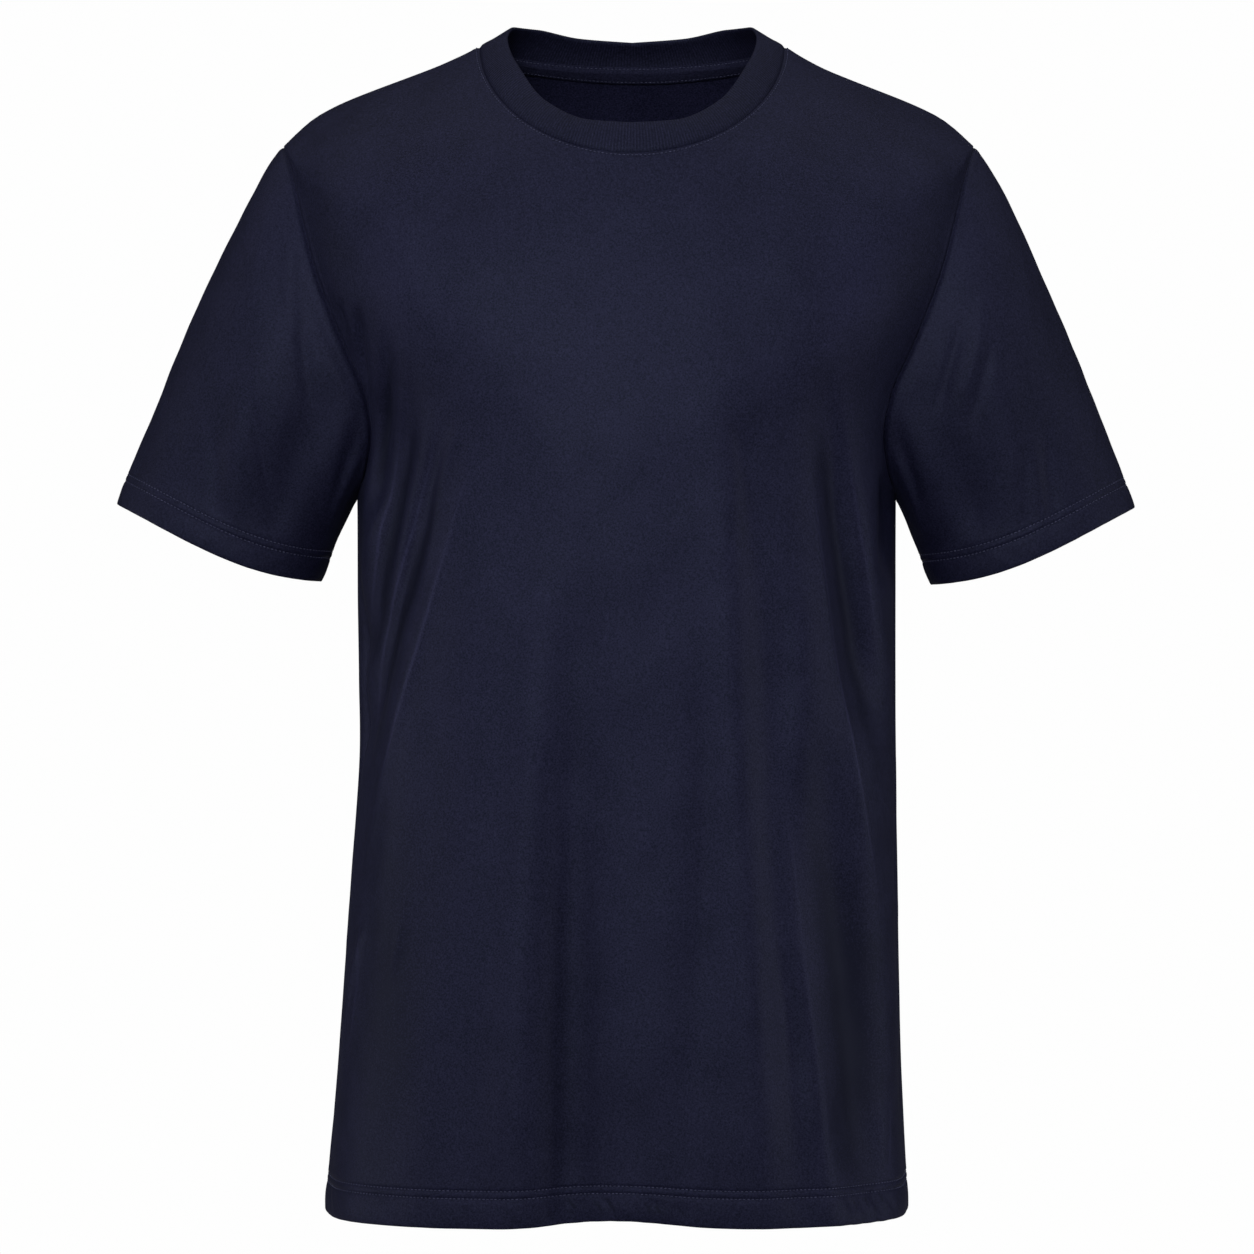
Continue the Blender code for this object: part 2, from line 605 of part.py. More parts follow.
levels = body_levels()
at_armhole = (levels >= 1.0) & (levels <= 2.0)
count = int(np.count_nonzero(at_armhole))
armhole_normals = {}
for side_name, side_sign, column in (("left", -1.0, 0), ("right", 1.0, -1)):
    loop, angles = armhole_loop(levels, side_sign)
    starts = sleeve_starts(angles, side_sign)
    edge = {}
    for face, columns in (("front", FRONT_COLUMNS), ("back", BACK_COLUMNS)):
        panel_normals = panel_outer(levels, column_spread(columns), face)[1]
        edge[face] = panel_normals[at_armhole, column]
    body_side = np.concatenate([edge["front"], edge["back"][-2:0:-1]])
    sewn = seam_normals(loop, body_side, starts, side_sign)
    sewn[[0, count - 1], 1] = 0.0
    sewn = unit(sewn)
    back_rows = np.concatenate([sewn[:1], sewn[:count - 2:-1]])
    armhole_normals[side_name] = {"front": sewn[:count], "back": back_rows}
    add_sleeve("sleeve_" + side_name, side_name, side_sign, loop, angles, starts, sewn)

add_panel("front_panel", "front", FRONT_COLUMNS, levels, armhole_normals)
add_panel("back_panel", "back", BACK_COLUMNS, levels, armhole_normals)
add_neck_rib()
add_neck_tape()
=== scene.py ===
"""Looks of a crew neck t-shirt in navy jersey, filled out as if worn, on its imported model.

Metres, +Z up, the front faces -Y, and the left sleeve is on the -X side. Each piece of cloth
is a thin wall on the form of its solid. A row of the body runs from one side edge to the
other, and its level says where it starts: 0 at the hem, 1 at the armpit, 2 at the shoulder
tip and 3 at the neck.
"""
from collections import namedtuple

import bpy
import numpy as np
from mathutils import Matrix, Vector


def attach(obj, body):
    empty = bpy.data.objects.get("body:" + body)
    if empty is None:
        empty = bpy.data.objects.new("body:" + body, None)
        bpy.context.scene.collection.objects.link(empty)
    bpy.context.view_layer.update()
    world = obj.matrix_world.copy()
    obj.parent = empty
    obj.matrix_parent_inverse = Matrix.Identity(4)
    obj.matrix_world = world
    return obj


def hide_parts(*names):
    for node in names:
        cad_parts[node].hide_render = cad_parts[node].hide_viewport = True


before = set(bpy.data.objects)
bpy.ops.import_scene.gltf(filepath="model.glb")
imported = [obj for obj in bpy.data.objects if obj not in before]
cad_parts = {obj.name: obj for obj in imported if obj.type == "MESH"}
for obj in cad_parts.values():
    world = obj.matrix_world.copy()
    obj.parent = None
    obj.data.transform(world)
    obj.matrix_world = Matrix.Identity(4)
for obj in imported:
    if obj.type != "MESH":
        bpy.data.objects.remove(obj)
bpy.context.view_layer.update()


# ---- Front panel ----
# One piece of plain jersey from the hem to the shoulders. It is sewn to the back at the sides
# and shoulders, and its lower edge is turned up and held by two rows of stitches. It hangs
# off the chest in long soft folds, with a fan of small ones below each armhole.

HEM_HEIGHT = -0.7066
ARMPIT_HEIGHT = -0.2730
TIP_HEIGHT = -0.0612
TIP_HALF_WIDTH = 0.2098
NECK_HALF_WIDTH = 0.0930
ARMHOLE_DEPTHS = {"front": -0.0500, "back": 0.0480}
SIDES = {"left": -1.0, "right": 1.0}


def table(kind, *rows):
    """Rows of numbers as a table with named columns."""
    return tuple(kind(*row) for row in rows)


SideStation = namedtuple("SideStation", "height half_width")
SIDE_SEAM = table(
    SideStation,
    (-0.7066, 0.177), (-0.66, 0.1737), (-0.606, 0.1705), (-0.508, 0.1662), (-0.423, 0.163),
    (-0.35, 0.1634), (-0.273, 0.1638))
ARMHOLE_EDGE = table(
    SideStation,
    (-0.273, 0.1638), (-0.26, 0.158), (-0.238, 0.1545), (-0.215, 0.158), (-0.19, 0.1685),
    (-0.1627, 0.1798), (-0.1385, 0.1885), (-0.11, 0.1962), (-0.08, 0.2035), (-0.0612, 0.2098))
SHOULDER_SEAM = table(
    SideStation,
    (0, 0.093), (-0.013, 0.1183), (-0.0203, 0.136), (-0.0272, 0.1538), (-0.036, 0.1752),
    (-0.0452, 0.1928), (-0.0612, 0.2098))

# Middle of the front and the back at a level. Squareness 2 is an ellipse; drop is the power
# by which a row falls from its ends to its middle; shift moves the row sideways.
BodySection = namedtuple(
    "BodySection", "level shift front_y front_z back_y back_z squareness drop")
BODY_SECTIONS = table(
    BodySection,
    (0, -0.007, -0.1195, -0.7066, 0.118, -0.7066, 2.9, 2),
    (0.23, -0.0052, -0.1175, -0.606, 0.112, -0.606, 2.75, 2),
    (0.46, -0.0027, -0.1155, -0.508, 0.106, -0.508, 2.65, 2),
    (0.65, -0.0006, -0.1165, -0.423, 0.103, -0.423, 2.55, 2),
    (0.83, -0.0012, -0.1195, -0.351, 0.107, -0.349, 2.42, 2),
    (1, -0.0012, -0.1225, -0.278, 0.113, -0.27, 2.18, 2),
    (1.25, -0.0008, -0.1235, -0.242, 0.116, -0.22, 2.3, 1.9),
    (1.5, 0, -0.122, -0.202, 0.116, -0.165, 2.35, 1.8),
    (1.75, 0, -0.118, -0.164, 0.111, -0.115, 2.3, 1.8),
    (2, 0, -0.1125, -0.133, 0.1, -0.076, 2.25, 1.8),
    (2.4, -0.0018, -0.1058, -0.107, 0.0842, -0.046, 2.17, 1.6),
    (2.7, -0.001, -0.1003, -0.0895, 0.0702, -0.027, 2.11, 1.4),
    (3, 0.0021, -0.095, -0.0735, 0.057, -0.0095, 2.05, 1.1))

# A fold follows a smooth curve through a top, a middle and a low point, and a negative height
# is a trough. Flare is its width at the low end over that at the top, and skew leans it to
# one side. x is seen from the front in the main folds, and is measured along the cloth from
# the centre line in the creases.
Fold = namedtuple("Fold", "x_top z_top x_mid z_mid x_low z_low half_width height flare skew")
FRONT_FOLDS = table(
    Fold,
    (-0.142, -0.165, -0.148, -0.232, -0.156, -0.3, 0.0044, -0.006, 1.2, 0.4),
    (-0.123, -0.19, -0.145, -0.288, -0.166, -0.4, 0.0066, -0.0095, 1.2, 0.25),
    (-0.104, -0.225, -0.137, -0.325, -0.17, -0.46, 0.0074, -0.01, 1.2, 0.25),
    (-0.024, -0.27, -0.0335, -0.56, -0.0355, -0.86, 0.0138, -0.01, 1.6, 0.2),
    (-0.046, -0.29, -0.062, -0.48, -0.08, -0.8, 0.011, 0.0035, 1.2, 0),
    (0.055, -0.205, 0.066, -0.42, 0.085, -0.81, 0.012, 0.005, 1.2, 0),
    (0.073, -0.24, 0.088, -0.445, 0.112, -0.76, 0.013, -0.007, 1.3, -0.25),
    (0.113, -0.195, 0.133, -0.31, 0.152, -0.44, 0.008, -0.012, 1.6, -0.35),
    (0.16, -0.19, 0.159, -0.26, 0.157, -0.34, 0.0044, -0.007, 1.2, -0.3),
    (0.106, -0.385, 0.133, -0.547, 0.148, -0.74, 0.015, -0.013, 1.4, -0.2),
    (0.084, -0.38, 0.1, -0.547, 0.126, -0.74, 0.008, 0.0045, 1.2, 0))
FRONT_CREASES = table(
    Fold,
    (-0.191, -0.158, -0.191, -0.173, -0.194, -0.186, 0.004, -0.0022, 1, 0),
    (-0.176, -0.16, -0.178, -0.19, -0.187, -0.226, 0.0042, -0.004, 1.2, 0.2),
    (-0.094, -0.228, -0.112, -0.262, -0.126, -0.33, 0.004, 0.0016, 1.2, 0),
    (-0.163, -0.525, -0.185, -0.567, -0.196, -0.62, 0.004, 0.0018, 1, 0),
    (-0.132, -0.52, -0.139, -0.545, -0.146, -0.572, 0.0035, 0.001, 1, 0),
    (-0.205, -0.3, -0.212, -0.42, -0.207, -0.56, 0.006, -0.0035, 1.4, 0.2),
    (0.045, -0.32, 0.048, -0.503, 0.041, -0.69, 0.008, -0.0026, 1.3, -0.2),
    (0.063, -0.228, 0.072, -0.271, 0.077, -0.36, 0.006, -0.0022, 1.3, 0.3),
    (0.092, -0.315, 0.098, -0.368, 0.102, -0.42, 0.006, -0.0022, 1.2, 0.3),
    (0.093, -0.54, 0.105, -0.583, 0.112, -0.655, 0.006, -0.0022, 1.3, 0),
    (0.208, -0.31, 0.213, -0.44, 0.209, -0.6, 0.006, -0.0033, 1.4, -0.2))

# How folds are laid: the points along the curve, how far from the line the skew sets in, the
# shares of the length over which both ends fade, and the reach in half widths.
MAIN_FOLD = {"points": 33, "lean": 1.0, "fades": (0.50, 0.25)}
CREASE = {"points": 25, "lean": 0.5, "fades": (0.38, 0.38), "reach": 4.0}
MAIN_FOLD_FADE = 0.024

# Lines along the front's folds, each through places as seen from the front, painted into the
# cloth's colour: a painted highlight along a fold's edge where its strength is positive, and
# painted shade in a trough or a hem pucker where it is negative. A thin one also has its own
# ridge, or a small groove where its strength is negative, and a broad one is only painted light or
# painted shade.
FoldEdge = namedtuple("FoldEdge", "width strength places")
FRONT_EDGES = table(
    FoldEdge,
    (0.0011, 0.9, ((-0.134, -0.23), (-0.1405, -0.263), (-0.1469, -0.2932), (-0.1546, -0.3404),
        (-0.159, -0.372))),
    (0.0011, 1, ((-0.114, -0.224), (-0.128, -0.2932), (-0.1404, -0.3404), (-0.1499, -0.3876),
        (-0.158, -0.448))),
    (0.0011, 0.8, ((-0.088, -0.235), (-0.1027, -0.2932), (-0.1186, -0.3404), (-0.1322, -0.3876),
        (-0.144, -0.4348), (-0.1569, -0.4879), (-0.162, -0.515))),
    (0.0014, 0.4, ((-0.1593, -0.51), (-0.161, -0.5469), (-0.164, -0.575), (-0.17, -0.62))),
    (0.001, 0.8, ((0.103, -0.228), (0.1115, -0.2932), (0.118, -0.3404), (0.1268, -0.3876),
        (0.1351, -0.4348), (0.144, -0.4879), (0.156, -0.55))),
    (0.001, 0.45, ((0.129, -0.23), (0.1363, -0.2932), (0.1463, -0.3404), (0.151, -0.3876))),
    (0.0014, 0.3, ((0.085, -0.41), (0.0968, -0.4879), (0.1027, -0.5469), (0.1115, -0.6059),
        (0.123, -0.68))),
    (0.0011, 0.7, ((0.1572, -0.635), (0.1566, -0.66), (0.1558, -0.685))),
    # Painted shade in the creases of the hem's puckers.
    (0.0013, -0.8, ((-0.0359, -0.6894), (-0.0326, -0.6935), (-0.0293, -0.6974))),
    (0.0013, -0.9, ((-0.0206, -0.689), (-0.0168, -0.6942), (-0.0133, -0.6989))),
    (0.0013, -0.9, ((-0.014, -0.6879), (-0.0098, -0.6936), (-0.006, -0.6989))),
    (0.0013, -0.75, ((0.0086, -0.6894), (0.0118, -0.6944), (0.0151, -0.6989))),
    (0.0013, -0.75, ((0.0151, -0.6916), (0.0178, -0.696), (0.0202, -0.7003))),
    (0.0013, -0.5, ((0.0289, -0.693), (0.0326, -0.6975), (0.0362, -0.7017))),
    (0.0011, -0.6, ((0.1316, -0.6908), (0.1338, -0.6955), (0.136, -0.7003))),
    (0.0011, -0.6, ((0.1389, -0.69), (0.1411, -0.695), (0.1433, -0.7))),
    (0.0011, -0.5, ((0.1469, -0.6879), (0.1498, -0.693), (0.1527, -0.6982))),
    # Painted light on the upper chest by each armhole.
    (0.026, 0.3, ((-0.15, -0.095), (-0.142, -0.135), (-0.135, -0.175), (-0.131, -0.215))),
    (0.026, 0.42, ((0.15, -0.095), (0.14, -0.135), (0.132, -0.175), (0.127, -0.215))),
    # Painted shade in the troughs below the armholes, down the middle and on the lower sides.
    (0.0036, -1, ((-0.1385, -0.185), (-0.1404, -0.1936), (-0.1434, -0.2201), (-0.1457, -0.2461),
        (-0.1493, -0.285))),
    (0.0062, -0.9, ((-0.121, -0.22), (-0.1286, -0.2461), (-0.138, -0.2932), (-0.1463, -0.3404),
        (-0.153, -0.385))),
    (0.0072, -0.95, ((-0.104, -0.25), (-0.1174, -0.2932), (-0.1316, -0.3404), (-0.1434, -0.3876),
        (-0.153, -0.44))),
    (0.0085, -0.85, ((0.106, -0.215), (0.121, -0.2932), (0.129, -0.3404), (0.1386, -0.397),
        (0.146, -0.46))),
    (0.012, -0.6, ((0.1, -0.415), (0.113, -0.4879), (0.1225, -0.5469), (0.129, -0.6059),
        (0.137, -0.7))),
    (0.0135, -0.32, ((-0.0385, -0.5), (-0.0395, -0.56), (-0.04, -0.62), (-0.0405, -0.706))),
    (0.019, -0.72, ((0.122, -0.47), (0.13, -0.53), (0.134, -0.59), (0.138, -0.706))),
    (0.023, -0.55, ((-0.131, -0.43), (-0.137, -0.5), (-0.141, -0.57), (-0.146, -0.706))))
THIN_EDGE = 0.0020
EDGE_RIDGE = 0.0014
EDGE_RIDGE_WIDTH = 0.0028
EDGE_FADE = 0.30
EDGE_MARGIN = 0.01

# Very soft waves all over the cloth: their length, lean, number and height.
Wave = namedtuple("Wave", "length lean count height")
BODY_WAVES = table(
    Wave,
    (0.085, 1.3, 5, 0.00028), (0.055, 0.25, 6, 0.00042), (0.034, 1.5, 9, 0.00013))
WAVE_LENGTHS = (0.7, 1.4)

# Turned-up hem: its depth, its rows of stitches above the edge, how it is lifted in the
# middle of the front, and the puffs and puckers of its band.
WALL = 0.0010
HEM_WALL = 0.0020
HEM_DEPTH = 0.0240
HEM_SOFTNESS = 0.0007
HEM_STITCHES = (0.0168, 0.0214)
HEM_LIFT = 0.0050
HEM_LIFT_X = -0.0050
HEM_LIFT_SPREAD = 0.0420
HEM_LIFT_LEVEL = 0.30
STITCH_GROOVE = 0.00046
GROOVE_HALF_WIDTH = 0.0008
HEM_PUFF = 0.00035
PUFF_POWER = 0.7
BETWEEN_STITCHES = (0.5, 0.0016)
AT_RAW_EDGE = (0.4, 0.0012)
PUCKERS = 5
PUCKER_RISE = 0.00085
PUCKER_LENGTHS = (0.011, 0.024)
PUCKER_SLANTS = (0.5, 1.3)
PUCKER_STARTS = (0.0, 6.3)
PUCKER_LEAST = -0.2
PUCKER_REACH = 1.15
PUCKER_SHARE = 0.12
Pucker = namedtuple("Pucker", "middle_x spread share")
HEM_PUCKERS = {
    "front": table(Pucker, (-0.007, 0.03, 0.45), (0.144, 0.015, 0.45)),
    "back": table(Pucker, (-0.129, 0.016, 0.5), (0.024, 0.02, 0.6), (0.098, 0.012, 0.5)),
}

# Seams: how far the cloth dips to them, and how it rises on the allowance beside them.
SEAM_DIP = 0.00055
SEAM_SOFTNESS = 0.0012
ALLOWANCE_LIFT = 0.00040
ALLOWANCE_AT = 0.0036
ALLOWANCE_SOFTNESS = 0.0022
FLAT_BY_SEAM = 0.010
FLAT_BY_NECK = 0.030

# Rows and columns of a panel's wall, which stand close together at its stitches and seams.
PANEL_COLUMNS = 218
MEASURING_COLUMNS = 41
SIDE_CROWDING = 0.55
EDGE_COLUMNS = (0.0006, 0.0013, 0.0022, 0.0035, 0.0052)
NEXT_COLUMN = 0.0012
ROWS_BY_STITCHES = (-0.0012, -0.0006, 0.0, 0.0006, 0.0012)
LEAST_ROW_GAP = 0.0005
HEM_ROWS = 15
ABOVE_HEM = 0.0030
SIDE_ROWS = 78
ARMHOLE_ROWS = 84
SHOULDER_ROWS = 20
NECK_LEVELS = (2.96, 2.972, 2.982, 2.99, 2.996, 3.0)

# The armpit and the shoulder tip bend a panel's rows. The bends are eased away from the seams.
EASING_ROUNDS = 160
EASED_BY_ARMPIT = 0.35
EASED_BY_TIP = 0.45
KEPT_BY_HEM = 0.4
KEPT_BY_NECK = 0.5
KEPT_BY_SIDE = 0.022


def smooth_table(stations, values, at):
    """Read a smooth curve through a table, with no overshoot between its rows."""
    x, y = np.asarray(stations, float), np.asarray(values, float)
    at = np.clip(at, x[0], x[-1])
    step = np.diff(x)
    slope = np.diff(y) / step
    tangent = np.empty_like(y)
    tangent[0], tangent[-1] = slope[0], slope[-1]
    before, after = slope[:-1], slope[1:]
    same_way = before * after > 0.0
    total = np.where(same_way, before + after, 1.0)
    tangent[1:-1] = np.where(same_way, 2.0 * before * after / total, 0.0)
    index = np.clip(np.searchsorted(x, at, side="right") - 1, 0, len(step) - 1)
    part = (at - x[index]) / step[index]
    start, end = y[index], y[index + 1]
    lead, trail = tangent[index] * step[index], tangent[index + 1] * step[index]
    cubic = 2.0 * start - 2.0 * end + lead + trail
    square = 3.0 * end - 3.0 * start - 2.0 * lead - trail
    return ((cubic * part + square) * part + lead) * part + start


def read_columns(rows, key, names, at):
    """Read named columns of a table at the given values of its key column."""
    keys = [getattr(row, key) for row in rows]
    return [smooth_table(keys, [getattr(row, name) for row in rows], at)
            for name in names.split()]


LEAST_LENGTH = 1e-12


def unit(vectors):
    """Scale vectors to length one."""
    length = np.linalg.norm(vectors, axis=-1, keepdims=True)
    return vectors / np.maximum(length, LEAST_LENGTH)


def grid_normals(points, wraps=False):
    """Normals of a grid of points, from its neighbours along rows and columns."""
    if wraps:
        across = np.roll(points, -1, axis=1) - np.roll(points, 1, axis=1)
    else:
        across = np.gradient(points, axis=1)
    return unit(np.cross(across, np.gradient(points, axis=0)))


def bump(distance, half_width):
    """A soft bell of height one."""
    return np.exp(-(distance / half_width) ** 2)


def soft_step(value):
    """A smooth rise from 0 to 1."""
    part = np.clip(value, 0.0, 1.0)
    return part * part * (3.0 - 2.0 * part)


def arcs(points, axis):
    """Length along a grid from its first row or column."""
    steps = np.linalg.norm(np.diff(points, axis=axis), axis=-1)
    start = np.zeros_like(np.take(steps, [0], axis=axis))
    return np.concatenate([start, np.cumsum(steps, axis=axis)], axis=axis)


def close_rows(even, centres):
    """Add rows close together round each stitched line to an even set of rows."""
    near = np.add.outer(centres, ROWS_BY_STITCHES).ravel()
    apart = np.min(np.abs(np.subtract.outer(even, near)), axis=1) > LEAST_ROW_GAP
    return np.sort(np.concatenate([even[apart], near]))


def panel_levels():
    """Levels of a panel's rows."""
    side_height = ARMPIT_HEIGHT - HEM_HEIGHT
    hem = close_rows(np.linspace(0.0, HEM_DEPTH + ABOVE_HEM, HEM_ROWS), HEM_STITCHES)
    hem = hem / side_height
    side = np.linspace(hem[-1], 1.0, SIDE_ROWS + 1)[1:]
    armhole = np.linspace(1.0, 2.0, ARMHOLE_ROWS + 1)[1:]
    shoulder = np.linspace(2.0, NECK_LEVELS[0], SHOULDER_ROWS + 1)[1:]
    return np.concatenate([hem, side, armhole, shoulder, NECK_LEVELS[1:]])


def edge_shape(level, reach):
    """Height, half width and depth of a panel's side edge at each level."""
    turn = np.pi * np.clip(level - 1.0, 0.0, 1.0)
    middle = 0.5 * (ARMPIT_HEIGHT + TIP_HEIGHT)
    half = 0.5 * (TIP_HEIGHT - ARMPIT_HEIGHT)
    side_z = HEM_HEIGHT + np.clip(level, 0.0, 1.0) * (ARMPIT_HEIGHT - HEM_HEIGHT)
    armhole_z = middle - half * np.cos(turn)
    seam_part = np.clip(level - 2.0, 0.0, 1.0)
    seam_width = TIP_HALF_WIDTH + seam_part * (NECK_HALF_WIDTH - TIP_HALF_WIDTH)
    shoulder_z, = read_columns(SHOULDER_SEAM, "half_width", "height", seam_width)
    side_width, = read_columns(SIDE_SEAM, "height", "half_width", side_z)
    armhole_width, = read_columns(ARMHOLE_EDGE, "height", "half_width", armhole_z)
    zones = [level < 1.0, level <= 2.0]
    height = np.select(zones, [side_z, armhole_z], shoulder_z)
    half_width = np.select(zones, [side_width, armhole_width], seam_width)
    return height, half_width, reach * np.sin(turn)


def body_surface(levels, spread, face):
    """Outer points of the front or back panel before its folds, one row for each level."""
    level = np.asarray(levels, float)[:, None]
    height, half_width, depth = edge_shape(level, ARMHOLE_DEPTHS[face])
    squareness, drop, middle_y, middle_z, shift = read_columns(
        BODY_SECTIONS, "level", f"squareness drop {face}_y {face}_z shift", level)
    end_forward = np.clip(depth / middle_y, 0.0, 1.0)
    end_sideways = (1.0 - end_forward ** squareness) ** (1.0 / squareness)
    angle = np.arctan2(end_sideways, end_forward) * spread
    sideways, forward = np.sin(angle), np.cos(angle)
    size = (np.abs(sideways) ** squareness + np.abs(forward) ** squareness) ** (1.0 / squareness)
    sideways, forward = sideways / size, forward / size
    share = np.clip((forward - end_forward) / (1.0 - end_forward), 0.0, 1.0)
    x = shift + half_width * sideways / end_sideways
    y = depth + (middle_y - depth) * share
    z = height + (middle_z - height) * share ** drop
    return np.stack([x, y, z], axis=-1)


def panel_spread(levels, face):
    """Places across each row from -1 to 1, close together towards the seams at its ends."""
    evenly = np.linspace(-1.0, 1.0, MEASURING_COLUMNS)
    half_rows = 0.5 * arcs(body_surface(levels, evenly, face), 1)[:, -1:]
    edge = 1.0 - np.array(EDGE_COLUMNS)[None, :] / half_rows
    inner = np.linspace(-1.0, 1.0, PANEL_COLUMNS + 1)
    inner = inner + SIDE_CROWDING * np.sin(np.pi * inner) / np.pi
    inner = inner[None, :] * (edge[:, -1:] - NEXT_COLUMN / half_rows)
    ends = np.ones((len(levels), 1))
    return np.concatenate([-ends, -edge, inner, edge[:, ::-1], ends], axis=1)


def nearest_on_line(x, z, line_x, line_z):
    """Distance of each place from a line, its part along the line, and its offset sideways."""
    step_x, step_z = np.diff(line_x), np.diff(line_z)
    length = np.hypot(step_x, step_z)
    to_x = x[..., None] - line_x[:-1]
    to_z = z[..., None] - line_z[:-1]
    share = np.clip((to_x * step_x + to_z * step_z) / length ** 2, 0.0, 1.0)
    gap = np.hypot(to_x - share * step_x, to_z - share * step_z)
    nearest = np.argmin(gap, axis=-1)[..., None]
    along = (nearest + np.take_along_axis(share, nearest, axis=-1)) / len(step_x)
    aside = np.take_along_axis((to_z * step_x - to_x * step_z) / length, nearest, axis=-1)
    return np.take_along_axis(gap, nearest, axis=-1)[..., 0], along[..., 0], aside[..., 0]


def add_along(total, x, z, near, line, shape, lean, fades):
    """Add a ridge or trough along a line to the lift of the places near it."""
    half_width, height, flare, skew = shape
    gap, along, aside = nearest_on_line(x[near], z[near], *line)
    width = half_width * (1.0 + (flare - 1.0) * along)
    width = width * (1.0 + skew * np.tanh(aside / (lean * half_width)))
    fade = soft_step(along / fades[0]) * soft_step((1.0 - along) / fades[1])
    total[near] += height * fade * bump(gap, width)


def fold_lift(x, z, folds, points, lean, fades, reach=np.inf):
    """Sum of some folds at places on the cloth. Reach is how far one goes, in half widths."""
    total = np.zeros_like(x)
    part = np.linspace(0.0, 1.0, points)
    for fold in folds:
        margin = reach * fold.half_width * max(1.0, fold.flare)
        near = np.ones(x.shape, bool)
        line = []
        for place, (top, middle, low) in ((x, fold[0:6:2]), (z, fold[1:6:2])):
            bend = 2.0 * middle - 0.5 * (top + low)
            way = (1.0 - part) ** 2 * top + 2.0 * part * (1.0 - part) * bend + part ** 2 * low
            near &= (place > way.min() - margin) & (place < way.max() + margin)
            line.append(way)
        add_along(total, x, z, near, line, fold[6:], lean, fades)
    return total


def edge_ridges(x, z, edges):
    """Narrow ridges along the thin edges of the folds, at places seen from the front."""
    total = np.zeros_like(x)
    for edge in edges:
        if edge.width <= THIN_EDGE:
            line = np.array(edge.places).T
            near = (z < line[1].max() + EDGE_MARGIN) & (z > line[1].min() - EDGE_MARGIN)
            shape = (EDGE_RIDGE_WIDTH, EDGE_RIDGE * edge.strength, 1.0, 0.0)
            add_along(total, x, z, near, line, shape, 1.0, (EDGE_FADE, EDGE_FADE))
    return total


def slow_waves(across, height, seed, waves):
    """Very soft uneven waves in the cloth, as a sum of seeded plane waves."""
    draw = np.random.default_rng(seed)
    total = np.zeros_like(across)
    for wave in waves:
        for _ in range(wave.count):
            heading = draw.uniform(-wave.lean, wave.lean)
            length = draw.uniform(*WAVE_LENGTHS) * wave.length
            phase = draw.uniform(0.0, 2.0 * np.pi)
            way = across * np.cos(heading) + height * np.sin(heading)
            total += wave.height / np.sqrt(wave.count) * np.sin(
                2.0 * np.pi * way / length + phase)
    return total


def side_normals(edge):
    """Normals of a seam that lies in the plane between front and back."""
    along = np.gradient(edge, axis=0)
    flat = np.stack([along[:, 2], np.zeros(len(along)), -along[:, 0]], axis=-1)
    return unit(flat) * np.sign(edge[0, 0])


def hem_relief(above_edge, stitches, depth):
    """Outer relief of a turned-up edge: its puffed band and the grooves of its stitches."""
    puff = np.sin(np.pi * np.clip(above_edge / stitches[0], 0.0, 1.0)) ** PUFF_POWER
    for at, (share, softness) in ((0.5 * (stitches[0] + stitches[1]), BETWEEN_STITCHES),
                                  (depth, AT_RAW_EDGE)):
        puff = puff + share * bump(above_edge - at, softness)
    grooves = sum(bump(above_edge - row, GROOVE_HALF_WIDTH) for row in stitches)
    return HEM_PUFF * puff - STITCH_GROOVE * grooves


def hem_pucker(across, above_edge, first_row, seed, share):
    """Small slanting puckers of a turned-up edge between its fold and its stitches."""
    draw = np.random.default_rng(seed)
    total = np.zeros_like(across)
    for _ in range(PUCKERS):
        length, slant = draw.uniform(*PUCKER_LENGTHS), draw.uniform(*PUCKER_SLANTS)
        turn = 2.0 * np.pi * (across + slant * above_edge) / length
        total += np.clip(np.sin(turn + draw.uniform(*PUCKER_STARTS)), PUCKER_LEAST, 1.0)
    inside = np.sin(np.pi * np.clip(above_edge / (PUCKER_REACH * first_row), 0.0, 1.0))
    return PUCKER_RISE * share * total * inside


def seam_relief(distance):
    """A sewn seam: the cloth dips to the seam, and lies a little higher on its allowance."""
    allowance = ALLOWANCE_LIFT * bump(distance - ALLOWANCE_AT, ALLOWANCE_SOFTNESS)
    return allowance - SEAM_DIP * bump(distance, SEAM_SOFTNESS)


def ease_rows(points, levels):
    """Soften the turns that the armpit and the shoulder tip send across a panel's rows."""
    from_side = arcs(points, 1)
    from_side = np.minimum(from_side, from_side[:, -1:] - from_side)
    near = bump(levels - 1.0, EASED_BY_ARMPIT) + bump(levels - 2.0, EASED_BY_TIP)
    near *= soft_step((3.0 - levels) / KEPT_BY_NECK) * soft_step(levels / KEPT_BY_HEM)
    share = 0.5 * np.clip(near, 0.0, 1.0)[1:-1, None]
    share = share * (1.0 - bump(from_side[1:-1], KEPT_BY_SIDE))
    eased = points.copy()
    for _ in range(EASING_ROUNDS):
        between = 0.5 * (eased[2:] + eased[:-2])
        eased[1:-1] += share[..., None] * (between - eased[1:-1])
    return eased


def at_armhole(levels):
    """Which rows of a panel end at the armhole."""
    return (levels >= 1.0) & (levels <= 2.0)


Form = namedtuple("Form", "outer normals across along from_seam")


